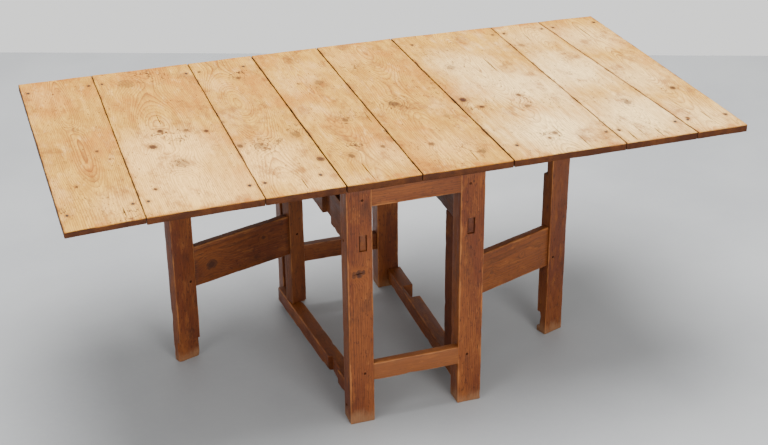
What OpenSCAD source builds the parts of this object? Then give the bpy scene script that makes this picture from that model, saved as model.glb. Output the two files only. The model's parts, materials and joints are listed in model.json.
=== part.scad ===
// Gateleg table: a fixed top of two boards on a narrow four-legged base, a hinged leaf of
// three boards on each long side, and two gates that swing out under the leaves.
// Origin: middle of the top's outline, on the floor. X runs along the opened length,
// Y along the boards (front is -Y), Z is up. Millimetres.

/* [Top] */
// Height of the top's upper face
table_h = 750; // [640:1:820]
// Length of the boards, front to back
top_depth = 1010; // [900:1:1250]
// Thickness of every top board
board_t = 22; // [18:1:30]
// Width of the left leaf
left_leaf_w = 720; // [620:1:900]
// Width of the fixed top between the two hinge lines
fixed_top_w = 466; // [440:1:580]
// Width of the right leaf
right_leaf_w = 708; // [600:1:900]
// Width of the left leaf's outer board
left_outer_board_w = 202; // [120:1:260]
// Width of the left leaf's middle board
left_middle_board_w = 303; // [200:1:360]
// Width of the left one of the two fixed boards
fixed_left_board_w = 207; // [120:1:300]
// Width of the right leaf's inner board
right_inner_board_w = 332; // [200:1:400]
// Width of the right leaf's middle board
right_middle_board_w = 219; // [120:1:260]
// Left leaf, outer seam: how much further right it ends at the rear than at the front
left_outer_skew = 18; // [-40:1:40]
// Left leaf, inner seam: the same
left_inner_skew = 12; // [-40:1:40]
// Seam between the fixed boards: the same
fixed_skew = 8; // [-14:1:14]
// Right leaf, inner seam: the same
right_inner_skew = 13; // [-40:1:40]
// Right leaf, outer seam: the same
right_outer_skew = -36; // [-40:1:40]
// How far the right leaf's rear end falls short of square at its outer corner
right_rear_slant = 20; // [0:1:40]
// Open seam at each hinge line
hinge_gap = 3; // [2:0.5:6]
// Open seam between the two fixed boards
fixed_gap = 2.4; // [0.6:0.2:5]
// Open seam between neighbouring boards of a leaf
board_gap = 1.2; // [0.4:0.2:4]

/* [Battens] */
// Width of a leaf batten
batten_w = 48; // [30:1:70]
// Thickness of a leaf batten
batten_t = 18; // [14:1:26]
// Distance from the board ends to the near edge of the front battens
batten_front_inset = 76; // [74:1:90]
// Distance from the board ends to the near edge of the rear battens
batten_rear_inset = 65; // [40:1:120]
// Distance from the hinge line to a batten's inner end
batten_hinge_clear = 34; // [20:1:80]
// Distance from the leaf's outer end to a batten's outer end
batten_end_inset = 8; // [0:1:12]

/* [Base] */
// Outer width of the base, over the legs
base_w = 390; // [360:1:500]
// Outer depth of the base, over the legs
base_depth = 767; // [700:1:860]
// Overhang of the top in front of the front legs
front_overhang = 15; // [5:1:60]
// Step from the left hinge line to the outer face of the left legs
left_step = 1; // [0.5:0.5:20]
// Width of a leg, seen from the front
leg_w = 70; // [56:1:90]
// Depth of a leg, front to back
leg_d = 57; // [44:1:80]

/* [Cross rails] */
// Height of the top rails between left and right legs
top_rail_h = 56; // [40:1:90]
// Thickness of the top rails
top_rail_t = 30; // [22:1:40]
// Underside height of the front stretcher
front_stretcher_z = 134; // [110:1:240]
// Height of the front stretcher's section
front_stretcher_h = 54; // [36:1:80]
// Underside height of the rear stretcher
rear_stretcher_z = 138; // [110:1:240]
// Height of the rear stretcher's section
rear_stretcher_h = 59; // [36:1:80]
// Thickness of both cross stretchers
cross_stretcher_t = 24; // [18:1:36]
// Length of a blind tenon on a cross rail
cross_tenon_l = 44; // [25:1:50]
// Thickness of a cross rail tenon
cross_tenon_t = 12; // [8:1:16]

/* [Side rails] */
// Underside height of the side rails
side_rail_z = 542; // [480:1:560]
// Height of the side rails' section
side_rail_h = 108; // [80:1:120]
// Thickness of the side rails
side_rail_t = 40; // [34:1:50]
// Left rail: step in from the base's outer face at the front leg
left_rail_in_front = 13; // [0:1:18]
// Left rail: step in from the base's outer face at the rear leg
left_rail_in_rear = 1; // [0:1:18]
// Right rail: step in from the base's outer face
right_rail_in = 8; // [0:1:14]
// Thickness of a side rail's through tenon
side_tenon_t = 18; // [12:1:22]
// Height of a side rail's through tenon
side_tenon_h = 46; // [36:1:70]

/* [Long stretchers] */
// Underside height of the long stretchers
long_stretcher_z = 20; // [14:1:60]
// Height of the long stretchers' section
long_stretcher_h = 47; // [36:1:70]
// Thickness of the long stretchers
long_stretcher_t = 42; // [36:1:54]
// Left stretcher: step in from the base's outer face at the front leg
left_stretcher_in_front = 28; // [0:1:28]
// Left stretcher: step out from the base's outer face at the rear leg
left_stretcher_out_rear = 18; // [0:1:18]
// Right stretcher: step in from the base's outer face at the front leg
right_stretcher_in_front = 6; // [0:1:20]
// Right stretcher: step out from the base's outer face at the rear leg
right_stretcher_out_rear = 6; // [0:1:16]
// Thickness of a long stretcher's blind tenon
long_tenon_t = 16; // [10:1:20]
// Height of a long stretcher's blind tenon
long_tenon_h = 28; // [20:1:34]
// Length of a long stretcher's blind tenon
long_tenon_l = 38; // [25:1:44]

/* [Gates] */
// Distance from a gate's pivot to the outer edge of its leg
gate_reach = 427; // [380:1:470]
// Width of a gate leg, along the gate
gate_leg_w = 70; // [50:1:80]
// Thickness of a gate's post and leg
gate_t = 38; // [32:1:42]
// Width of a gate post, along the gate
gate_post_w = 50; // [40:1:60]
// Underside height of a gate rail
gate_rail_z = 242; // [180:1:300]
// Height of a gate rail's section
gate_rail_h = 130; // [90:1:160]
// Thickness of a gate rail
gate_rail_t = 24; // [18:1:28]
// Thickness of a gate rail's tenons
gate_tenon_t = 12; // [8:1:16]
// Length of a gate rail's tenons
gate_tenon_l = 36; // [25:1:42]
// Left pivot: distance in from the base's outer face
left_pivot_in = 16; // [14:1:24]
// Right pivot: distance in from the base's outer face
right_pivot_in = 20; // [18:1:26]
// Distance from a pivot to the base's outer end face
pivot_end = 153; // [110:1:190]
// Diameter of the round pintles turned on a gate post
pintle_d = 16; // [12:1:20]
// Length of a pintle
pintle_l = 26; // [16:1:32]
// Depth cut from a gate leg's inner side where it passes a side rail
top_rebate = 14; // [8:1:18]
// Depth cut from a gate leg's inner side where it passes a long stretcher
foot_rebate = 12; // [6:1:16]
// How far the left gate stands open past square to the boards, in degrees
left_gate_open = 72.5; // [30:0.5:90]
// How far the right gate stands open, in degrees
right_gate_open = 70; // [30:0.5:90]

/* [Hinges] */
// Distance from the board ends to a hinge's centre
hinge_inset = 165; // [145:1:220]
// Width of a strap hinge, along the seam
hinge_w = 34; // [26:1:46]
// Length of a strap, from the seam
strap_l = 110; // [70:1:140]
// Thickness of a strap
strap_t = 2.6; // [2:0.2:4]
// Outer radius of a hinge knuckle
knuckle_r = 5.6; // [4.6:0.2:7]
// Diameter of a hinge pin
pin_d = 5; // [4:0.5:6]

/* [Fastenings] */
// Diameter of the wooden pegs in the base and gates
peg_d = 9; // [6:1:12]
// Diameter of a nail's shank
nail_d = 4; // [3:0.5:6]
// Diameter of a nail's head
nail_head_d = 9; // [6:0.5:12]
// Thickness of a nail's head
nail_head_t = 1.6; // [1:0.2:3]
// Diameter of the hidden dowels that hold the fixed boards
dowel_d = 10; // [8:1:14]

/* [Fits] */
// Radial clearance of a pintle or pin in its hole
running_fit = 0.08; // [0.02:0.01:0.1]
// Gap between a gate post and the rails above and below it
post_gap = 0.6; // [0.4:0.1:2]
// Gap between a gate leg's top and the leaf it carries
leaf_gap = 0.5; // [0.3:0.1:2]
// Room around a closed gate leg in its notches
notch_room = 2.5; // [2:0.5:8]

/* [Hidden] */

$fn = 40;
eps = 0.01;
LEFT = -1;
RIGHT = 1;

// The top's outline and its seams
top_w = left_leaf_w + fixed_top_w + right_leaf_w;
x_left = -top_w / 2;
x_right = top_w / 2;
seam_left = x_left + left_leaf_w;
seam_right = seam_left + fixed_top_w;
y_front = -top_depth / 2;
y_rear = top_depth / 2;
under_z = table_h - board_t;

// The base's outline
base_x0 = seam_left + left_step;
base_x1 = base_x0 + base_w;
base_y0 = y_front + front_overhang;
base_y1 = base_y0 + base_depth;
rail_y0 = base_y0 + leg_d;
rail_y1 = base_y1 - leg_d;
cross_x0 = base_x0 + leg_w;
cross_x1 = base_x1 - leg_w;
top_rail_z = under_z - top_rail_h;

// Steps and reliefs of the base's tenons
top_tenon_relief = 12;
side_tenon_z = side_rail_z + 3;
rear_stretcher_set_in = 10;

// Pegs of the base: length, and their places as shares of the section they stand in
peg_l = 48;
peg_stop = 8;
peg_across_leg = 0.62;
peg_into_leg = 0.6;
peg_up_top_rail = 0.4;

// Dowels of the fixed boards
dowel_in_board = board_t * 0.55;
dowel_in_rail = top_rail_h * 0.6;
dowel_from_leg = 30;
dowel_from_seam = 25;

// The gates, in their own frame: pivot at the origin, arm along +X, inner side +Y
rebate_room = 2;
pintle_end_room = 2;
gate_tenon_shoulder = 12;
gate_tenon_h = gate_rail_h - 2 * gate_tenon_shoulder;
gate_post_peg_z = gate_rail_z + gate_rail_h * 0.5;
gate_leg_peg_z = gate_rail_z + gate_rail_h * 0.2;
arm_leg_x0 = gate_reach - gate_leg_w;
arm_rail_x0 = gate_post_w / 2;
post_z0 = long_stretcher_z + long_stretcher_h + post_gap;
post_z1 = side_rail_z - post_gap;
gate_leg_top = under_z - leaf_gap;
foot_rebate_z1 = long_stretcher_z + long_stretcher_h + notch_room + rebate_room;
foot_rebate_z0 = long_stretcher_z - notch_room;
top_rebate_z = side_rail_z - notch_room;
pivot_left = [base_x0 + left_pivot_in, base_y1 - pivot_end];
pivot_right = [base_x1 - right_pivot_in, base_y0 + pivot_end];
left_gate_angle = 270 - left_gate_open;
right_gate_angle = 90 - right_gate_open;

// The hinges: knuckle centre under each seam
knuckle_gap = 0.4;
pin_z = under_z - knuckle_r - knuckle_gap;
strap_z = under_z - strap_t;
hinge_ys = [y_front + hinge_inset, y_rear - hinge_inset];
strap_nail_step = strap_l / 3.4;
strap_nail_xs = [for (i = [1:3]) strap_nail_step * i];
strap_nail_l = 16;
strap_tip_w = hinge_w * 0.6;
strap_neck = knuckle_r + 1;
strap_neck_t = strap_t - 0.4;
knuckle_w = hinge_w / 3;
knuckle_play = 0.3;
pin_head_t = 1.4;
pin_head_d = pin_d + 3;

// Nails and battens
batten_front_y = y_front + batten_front_inset;
batten_rear_y = y_rear - batten_rear_inset - batten_w;
batten_z = under_z - batten_t;
nail_edge = 20;
nail_in_batten = 11;
nail_hinge_clear = batten_hinge_clear + nail_in_batten;
nail_row_front = 0.25;
nail_row_rear = 0.6;
nail_rows = [batten_front_y + batten_w * nail_row_front, batten_rear_y + batten_w * nail_row_rear];
nail_tip_cover = 2;
nail_tip_z = batten_z + nail_tip_cover;
shank_facets = 16;
head_facets = 24;

// Colours
pine_top = [0.87, 0.72, 0.53];
pine_frame = [0.63, 0.37, 0.22];
pine_dark = [0.42, 0.24, 0.15];
iron = [0.22, 0.20, 0.19];

// Board edges of the top from left to right, each as [X at the front, skew]
left_split_1 = x_left + left_outer_board_w;
left_split_2 = left_split_1 + left_middle_board_w;
right_split_1 = seam_right + right_inner_board_w;
right_split_2 = right_split_1 + right_middle_board_w;
fixed_split = seam_left + fixed_left_board_w;
left_splits = [
    [x_left, 0], [left_split_1, left_outer_skew], [left_split_2, left_inner_skew], [seam_left, 0],
];
right_splits = [
    [seam_right, 0], [right_split_1, right_inner_skew], [right_split_2, right_outer_skew], [x_right, 0],
];
fixed_splits = [[seam_left, 0], [fixed_split, fixed_skew], [seam_right, 0]];

// Where a board edge is at a given Y
function edge_x(split, y) = split[0] + split[1] * (y - y_front) / top_depth;

// Rear end of the boards at a given X
function rear_y(x) =
    y_rear - right_rear_slant * max(0, x - seam_right) / right_leaf_w;

// Half of the open seam that a board gives up at one of its edges
function edge_gap(x) =
    (x == x_left || x == x_right) ? 0
    : (x == seam_left || x == seam_right) ? hinge_gap / 2
    : (x == fixed_split) ? fixed_gap / 2
    : board_gap / 2;

// Where a tenon of width t sits on a member that meets a leg
function tenon_mid(a0, a1, leg0) =
    (max(a0, leg0) + min(a1, leg0 + leg_w)) / 2;

// ---------- shared shapes ----------

module box(p0, p1) {
    translate(p0) cube(p1 - p0);
}

// A member between front and rear legs whose two ends may stand at different X
module long_bar(x_front, x_rear, t, z, h) {
    translate([0, 0, z])
        linear_extrude(h)
            polygon([
                [x_front, rail_y0], [x_front + t, rail_y0],
                [x_rear + t, rail_y1], [x_rear, rail_y1],
            ]);
}

module peg_y(x, y0, y1, z, d = peg_d) {
    translate([x, y0, z]) rotate([-90, 0, 0]) cylinder(d = d, h = y1 - y0);
}

module peg_x(x0, x1, y, z, d = peg_d) {
    translate([x0, y, z]) rotate([0, 90, 0]) cylinder(d = d, h = x1 - x0);
}

// ---------- tenons, each used for the tenon and for its mortise ----------

module cross_tenons(z, h, y, t) {
    shoulder = h / 6;
    mid = y + (t - cross_tenon_t) / 2;
    box([cross_x0 - cross_tenon_l, mid, z + shoulder],
        [cross_x0 + eps, mid + cross_tenon_t, z + h - shoulder]);
    box([cross_x1 - eps, mid, z + shoulder],
        [cross_x1 + cross_tenon_l, mid + cross_tenon_t, z + h - shoulder]);
}

module top_rail_tenons(y) {
    cross_tenons(top_rail_z, top_rail_h - top_tenon_relief, y, top_rail_t);
}

module side_rail_tenon(side, inner_front, inner_rear) {
    for (end = [[base_y0, rail_y0 + eps, inner_front], [rail_y1 - eps, base_y1, inner_rear]]) {
        x0 = side == LEFT ? end[2] - side_tenon_t : end[2];
        box([x0, end[0], side_tenon_z], [x0 + side_tenon_t, end[1], side_tenon_z + side_tenon_h]);
    }
}

module side_rail_left_tenons() {
    side_rail_tenon(LEFT, base_x0 + left_rail_in_front + side_rail_t,
        base_x0 + left_rail_in_rear + side_rail_t);
}

module side_rail_right_tenons() {
    side_rail_tenon(RIGHT, base_x1 - right_rail_in - side_rail_t,
        base_x1 - right_rail_in - side_rail_t);
}

module long_tenons(x_front, x_rear, leg0) {
    z0 = long_stretcher_z + (long_stretcher_h - long_tenon_h) / 2;
    front_mid = tenon_mid(x_front, x_front + long_stretcher_t, leg0);
    rear_mid = tenon_mid(x_rear, x_rear + long_stretcher_t, leg0);
    box([front_mid - long_tenon_t / 2, rail_y0 - long_tenon_l, z0],
        [front_mid + long_tenon_t / 2, rail_y0 + eps, z0 + long_tenon_h]);
    box([rear_mid - long_tenon_t / 2, rail_y1 - eps, z0],
        [rear_mid + long_tenon_t / 2, rail_y1 + long_tenon_l, z0 + long_tenon_h]);
}

left_stretcher_front_x = base_x0 + left_stretcher_in_front;
left_stretcher_rear_x = base_x0 - left_stretcher_out_rear;
right_stretcher_front_x = base_x1 - right_stretcher_in_front - long_stretcher_t;
right_stretcher_rear_x = base_x1 + right_stretcher_out_rear - long_stretcher_t;

module stretcher_left_tenons() {
    long_tenons(left_stretcher_front_x, left_stretcher_rear_x, base_x0);
}

module stretcher_right_tenons() {
    long_tenons(right_stretcher_front_x, right_stretcher_rear_x, base_x1 - leg_w);
}

front_stretcher_y = base_y0;
rear_stretcher_y = rail_y1 + rear_stretcher_set_in;
top_rail_rear_y = base_y1 - top_rail_t;

module stretcher_front_tenons() {
    cross_tenons(front_stretcher_z, front_stretcher_h, front_stretcher_y, cross_stretcher_t);
}

module stretcher_rear_tenons() {
    cross_tenons(rear_stretcher_z, rear_stretcher_h, rear_stretcher_y, cross_stretcher_t);
}

// Pegs that lock the tenons of the cross rails, driven in from the front and rear faces,
// and those of the side rails and long stretchers, driven in from the outer faces
module frame_peg_set() {
    top_rail_peg_z = top_rail_z + top_rail_h * peg_up_top_rail;
    side_peg_l = leg_w - peg_stop;
    for (x = [base_x0 + leg_w * peg_across_leg, base_x1 - leg_w * peg_across_leg]) {
        peg_y(x, base_y0, base_y0 + peg_l, top_rail_peg_z);
        peg_y(x, base_y1 - peg_l, base_y1, top_rail_peg_z);
        peg_y(x, base_y0, base_y0 + peg_l, front_stretcher_z + front_stretcher_h / 2);
        peg_y(x, base_y1 - peg_l, base_y1, rear_stretcher_z + rear_stretcher_h / 2);
    }
    for (y = [base_y0 + leg_d * peg_into_leg, base_y1 - leg_d * peg_into_leg]) {
        peg_x(base_x0, base_x0 + side_peg_l, y, side_tenon_z + side_tenon_h / 2);
        peg_x(base_x1 - side_peg_l, base_x1, y, side_tenon_z + side_tenon_h / 2);
    }
    for (y = [rail_y0 - long_tenon_l / 2, rail_y1 + long_tenon_l / 2]) {
        peg_x(base_x0, base_x0 + side_peg_l, y, long_stretcher_z + long_stretcher_h / 2);
        peg_x(base_x1 - side_peg_l, base_x1, y, long_stretcher_z + long_stretcher_h / 2);
    }
}

// ---------- base ----------

module leg(x0, y0) {
    color(pine_frame)
        difference() {
            box([x0, y0, 0], [x0 + leg_w, y0 + leg_d, under_z]);
            top_rail_tenons(base_y0);
            top_rail_tenons(top_rail_rear_y);
            stretcher_front_tenons();
            stretcher_rear_tenons();
            side_rail_left_tenons();
            side_rail_right_tenons();
            stretcher_left_tenons();
            stretcher_right_tenons();
            frame_peg_set();
        }
}

module leg_front_left() { leg(base_x0, base_y0); }
module leg_front_right() { leg(base_x1 - leg_w, base_y0); }
module leg_rear_left() { leg(base_x0, base_y1 - leg_d); }
module leg_rear_right() { leg(base_x1 - leg_w, base_y1 - leg_d); }

module cross_member(z, h, y, t) {
    color(pine_frame)
        difference() {
            union() {
                box([cross_x0, y, z], [cross_x1, y + t, z + h]);
                children();
            }
            frame_peg_set();
            dowel_set();
        }
}

module top_rail_front() {
    cross_member(top_rail_z, top_rail_h, base_y0, top_rail_t) top_rail_tenons(base_y0);
}

module top_rail_rear() {
    cross_member(top_rail_z, top_rail_h, top_rail_rear_y, top_rail_t) top_rail_tenons(top_rail_rear_y);
}

module stretcher_front() {
    cross_member(front_stretcher_z, front_stretcher_h, front_stretcher_y, cross_stretcher_t)
        stretcher_front_tenons();
}

module stretcher_rear() {
    cross_member(rear_stretcher_z, rear_stretcher_h, rear_stretcher_y, cross_stretcher_t)
        stretcher_rear_tenons();
}

// Space swept by a closed gate leg beside a rail or stretcher, out to the open air
module closed_leg_room(side, rebate, z, h) {
    pivot = side == LEFT ? pivot_left : pivot_right;
    inner = gate_t / 2 - rebate + notch_room;
    far = gate_reach + notch_room;
    near = arm_leg_x0 - notch_room;
    y0 = side == LEFT ? pivot[1] - far : pivot[1] + near;
    x_in = pivot[0] - side * inner;
    x_out = pivot[0] + side * 2 * leg_w;
    box([min(x_in, x_out), y0, z - 1], [max(x_in, x_out), y0 + far - near, z + h + 1]);
}

module pintle_hole(pivot, z0, z1) {
    translate([pivot[0], pivot[1], z0]) cylinder(r = pintle_d / 2 + running_fit, h = z1 - z0);
}

module side_rail_left() {
    color(pine_frame)
        difference() {
            union() {
                long_bar(base_x0 + left_rail_in_front, base_x0 + left_rail_in_rear,
                    side_rail_t, side_rail_z, side_rail_h);
                side_rail_left_tenons();
            }
            closed_leg_room(LEFT, top_rebate, side_rail_z, side_rail_h);
            pintle_hole(pivot_left, side_rail_z - 1, side_rail_z + pintle_l + pintle_end_room);
            frame_peg_set();
        }
}

module side_rail_right() {
    x0 = base_x1 - right_rail_in - side_rail_t;
    color(pine_frame)
        difference() {
            union() {
                long_bar(x0, x0, side_rail_t, side_rail_z, side_rail_h);
                side_rail_right_tenons();
            }
            closed_leg_room(RIGHT, top_rebate, side_rail_z, side_rail_h);
            pintle_hole(pivot_right, side_rail_z - 1, side_rail_z + pintle_l + pintle_end_room);
            frame_peg_set();
        }
}

stretcher_top = long_stretcher_z + long_stretcher_h;

module stretcher_left() {
    color(pine_frame)
        difference() {
            union() {
                long_bar(left_stretcher_front_x, left_stretcher_rear_x,
                    long_stretcher_t, long_stretcher_z, long_stretcher_h);
                stretcher_left_tenons();
            }
            closed_leg_room(LEFT, foot_rebate, long_stretcher_z, long_stretcher_h);
            pintle_hole(pivot_left, stretcher_top - pintle_l - pintle_end_room, stretcher_top + 1);
            frame_peg_set();
        }
}

module stretcher_right() {
    color(pine_frame)
        difference() {
            union() {
                long_bar(right_stretcher_front_x, right_stretcher_rear_x,
                    long_stretcher_t, long_stretcher_z, long_stretcher_h);
                stretcher_right_tenons();
            }
            closed_leg_room(RIGHT, foot_rebate, long_stretcher_z, long_stretcher_h);
            pintle_hole(pivot_right, stretcher_top - pintle_l - pintle_end_room, stretcher_top + 1);
            frame_peg_set();
        }
}

module frame_pegs() {
    color(pine_dark) frame_peg_set();
}

// ---------- fixed top ----------

// Dowels stand in the top rails and end blind inside the fixed boards
module dowel_set() {
    xs = [
        cross_x0 + dowel_from_leg, fixed_split - dowel_from_seam,
        fixed_split + dowel_from_seam, cross_x1 - dowel_from_leg,
    ];
    for (y = [base_y0 + top_rail_t / 2, base_y1 - top_rail_t / 2])
        for (x = xs)
            translate([x, y, under_z - dowel_in_rail])
                cylinder(d = dowel_d, h = dowel_in_rail + dowel_in_board);
}

module top_dowels() {
    color(pine_dark) dowel_set();
}

module board(left_edge, right_edge) {
    gap0 = edge_gap(left_edge[0]);
    gap1 = edge_gap(right_edge[0]);
    rear0 = rear_y(edge_x(left_edge, y_rear));
    rear1 = rear_y(edge_x(right_edge, y_rear));
    translate([0, 0, under_z])
        linear_extrude(board_t)
            polygon([
                [edge_x(left_edge, y_front) + gap0, y_front],
                [edge_x(right_edge, y_front) - gap1, y_front],
                [edge_x(right_edge, y_rear) - gap1, rear1],
                [edge_x(left_edge, y_rear) + gap0, rear0],
            ]);
}

module top_board_left() {
    color(pine_top)
        difference() {
            board(fixed_splits[0], fixed_splits[1]);
            dowel_set();
            hinge_nail_set(seam_left, RIGHT);
        }
}

module top_board_right() {
    color(pine_top)
        difference() {
            board(fixed_splits[1], fixed_splits[2]);
            dowel_set();
            hinge_nail_set(seam_right, LEFT);
        }
}

// ---------- leaves ----------

module nail(x, y) {
    translate([x, y, nail_tip_z])
        cylinder(d = nail_d, h = table_h - nail_tip_z, $fn = shank_facets);
    translate([x, y, table_h - nail_head_t])
        cylinder(d = nail_head_d, h = nail_head_t, $fn = head_facets);
}

// How far a nail stands in from a board's edge: further at a hinge line, to reach the batten
function nail_inset(x) = (x == seam_left || x == seam_right) ? nail_hinge_clear : nail_edge;

// Two nails through each board into each batten
module leaf_nail_set(splits) {
    for (i = [0:2])
        for (y = nail_rows) {
            nail(edge_x(splits[i], y) + nail_inset(splits[i][0]), y);
            nail(edge_x(splits[i + 1], y) - nail_inset(splits[i + 1][0]), y);
        }
}

// Where a batten ends, for the leaf edge at a given X
function batten_end(x) =
    x == seam_left ? x - batten_hinge_clear
    : x == seam_right ? x + batten_hinge_clear
    : x == x_left ? x + batten_end_inset
    : x - batten_end_inset;

module leaf_board(splits, i) {
    color(pine_top)
        difference() {
            board(splits[i], splits[i + 1]);
            leaf_nail_set(splits);
            hinge_nail_set(seam_left, LEFT);
            hinge_nail_set(seam_right, RIGHT);
        }
}

module batten(splits, y) {
    end0 = batten_end(splits[0][0]);
    end1 = batten_end(splits[3][0]);
    color(pine_dark)
        difference() {
            box([end0, y, batten_z], [end1, y + batten_w, under_z]);
            leaf_nail_set(splits);
        }
}

module left_leaf_board_outer() { leaf_board(left_splits, 0); }
module left_leaf_board_middle() { leaf_board(left_splits, 1); }
module left_leaf_board_inner() { leaf_board(left_splits, 2); }
module right_leaf_board_inner() { leaf_board(right_splits, 0); }
module right_leaf_board_middle() { leaf_board(right_splits, 1); }
module right_leaf_board_outer() { leaf_board(right_splits, 2); }
module left_leaf_batten_front() { batten(left_splits, batten_front_y); }
module left_leaf_batten_rear() { batten(left_splits, batten_rear_y); }
module right_leaf_batten_front() { batten(right_splits, batten_front_y); }
module right_leaf_batten_rear() { batten(right_splits, batten_rear_y); }
module left_leaf_nails() { color(iron) leaf_nail_set(left_splits); }
module right_leaf_nails() { color(iron) leaf_nail_set(right_splits); }

// ---------- gates ----------

module gate_tenons() {
    z0 = gate_rail_z + gate_tenon_shoulder;
    box([arm_rail_x0 - gate_tenon_l, -gate_tenon_t / 2, z0],
        [arm_rail_x0 + eps, gate_tenon_t / 2, z0 + gate_tenon_h]);
    box([arm_leg_x0 - eps, -gate_tenon_t / 2, z0],
        [arm_leg_x0 + gate_tenon_l, gate_tenon_t / 2, z0 + gate_tenon_h]);
}

module gate_peg_set() {
    peg_y(0, -gate_t / 2, gate_t / 2, gate_post_peg_z);
    peg_y(arm_leg_x0 + gate_tenon_l / 2, -gate_t / 2, gate_t / 2, gate_leg_peg_z);
}

module gate_post() {
    difference() {
        union() {
            box([-gate_post_w / 2, -gate_t / 2, post_z0], [gate_post_w / 2, gate_t / 2, post_z1]);
            translate([0, 0, post_z0 - pintle_l]) cylinder(d = pintle_d, h = pintle_l + 1);
            translate([0, 0, post_z1 - 1]) cylinder(d = pintle_d, h = pintle_l + 1);
        }
        gate_tenons();
        gate_peg_set();
    }
}

module gate_rail() {
    difference() {
        union() {
            box([arm_rail_x0, -gate_rail_t / 2, gate_rail_z],
                [arm_leg_x0, gate_rail_t / 2, gate_rail_z + gate_rail_h]);
            gate_tenons();
        }
        gate_peg_set();
    }
}

module gate_leg() {
    far = gate_reach + 1;
    near = arm_leg_x0 - 1;
    difference() {
        box([arm_leg_x0, -gate_t / 2, 0], [gate_reach, gate_t / 2, gate_leg_top]);
        box([near, gate_t / 2 - top_rebate, top_rebate_z], [far, gate_t, gate_leg_top + 1]);
        box([near, gate_t / 2 - foot_rebate, foot_rebate_z0], [far, gate_t, foot_rebate_z1]);
        gate_tenons();
        gate_peg_set();
    }
}

module place_left() {
    translate([pivot_left[0], pivot_left[1], 0]) rotate(left_gate_angle) children();
}

module place_right() {
    translate([pivot_right[0], pivot_right[1], 0]) rotate(right_gate_angle) children();
}

module left_gate_post() { color(pine_frame) place_left() gate_post(); }
module left_gate_rail() { color(pine_frame) place_left() gate_rail(); }
module left_gate_leg() { color(pine_frame) place_left() gate_leg(); }
module left_gate_pegs() { color(pine_dark) place_left() gate_peg_set(); }
module right_gate_post() { color(pine_frame) place_right() gate_post(); }
module right_gate_rail() { color(pine_frame) place_right() gate_rail(); }
module right_gate_leg() { color(pine_frame) place_right() gate_leg(); }
module right_gate_pegs() { color(pine_dark) place_right() gate_peg_set(); }

// ---------- hinges ----------

module knuckle(seam, y0, y1) {
    difference() {
        translate([seam, y0, pin_z]) rotate([-90, 0, 0]) cylinder(r = knuckle_r, h = y1 - y0);
        translate([seam, y0 - 1, pin_z]) rotate([-90, 0, 0])
            cylinder(r = pin_d / 2 + running_fit, h = y1 - y0 + 2);
    }
}

// One strap: dir points from the seam over the board it holds. The fixed strap carries the
// two end knuckles, the leaf strap the middle one.
module strap(seam, dir, y, ends) {
    wings = ends
        ? [[y - hinge_w / 2, y - knuckle_w / 2 - knuckle_play],
           [y + knuckle_w / 2 + knuckle_play, y + hinge_w / 2]]
        : [[y - knuckle_w / 2, y + knuckle_w / 2]];
    difference() {
        union() {
            translate([seam, y, strap_z])
                linear_extrude(strap_t)
                    polygon([
                        [dir * strap_neck, -hinge_w / 2], [dir * strap_l, -strap_tip_w / 2],
                        [dir * strap_l, strap_tip_w / 2], [dir * strap_neck, hinge_w / 2],
                    ]);
            for (w = wings) {
                knuckle(seam, w[0], w[1]);
                translate([min(seam, seam + dir * (strap_neck + eps)), w[0], strap_z])
                    cube([strap_neck + eps, w[1] - w[0], strap_neck_t]);
            }
        }
        hinge_nail_set(seam, dir);
        translate([seam, y - hinge_w, pin_z]) rotate([-90, 0, 0])
            cylinder(r = pin_d / 2 + running_fit, h = 2 * hinge_w);
    }
}

module hinge_nail_set(seam, dir) {
    for (y = hinge_ys)
        for (x = strap_nail_xs)
            translate([seam + dir * x, y, strap_z - nail_head_t]) {
                cylinder(d = nail_head_d, h = nail_head_t, $fn = head_facets);
                cylinder(d = nail_d, h = strap_nail_l, $fn = shank_facets);
            }
}

module hinge_pins(seam) {
    for (y = hinge_ys) {
        translate([seam, y - hinge_w / 2, pin_z]) rotate([-90, 0, 0])
            cylinder(d = pin_d, h = hinge_w);
        for (y_head = [y - hinge_w / 2 - pin_head_t, y + hinge_w / 2])
            translate([seam, y_head, pin_z]) rotate([-90, 0, 0])
                cylinder(d = pin_head_d, h = pin_head_t);
    }
}

module strap_pair(seam, dir, ends) {
    color(iron) for (y = hinge_ys) strap(seam, dir, y, ends);
}

module left_hinge_fixed_straps() { strap_pair(seam_left, RIGHT, true); }
module left_hinge_leaf_straps() { strap_pair(seam_left, LEFT, false); }
module left_hinge_pins() { color(iron) hinge_pins(seam_left); }
module right_hinge_fixed_straps() { strap_pair(seam_right, LEFT, true); }
module right_hinge_leaf_straps() { strap_pair(seam_right, RIGHT, false); }
module right_hinge_pins() { color(iron) hinge_pins(seam_right); }
module left_hinge_nails() { color(iron) hinge_nail_set(seam_left, LEFT); }
module right_hinge_nails() { color(iron) hinge_nail_set(seam_right, RIGHT); }
module fixed_hinge_nails() {
    color(iron) {
        hinge_nail_set(seam_left, RIGHT);
        hinge_nail_set(seam_right, LEFT);
    }
}

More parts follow.
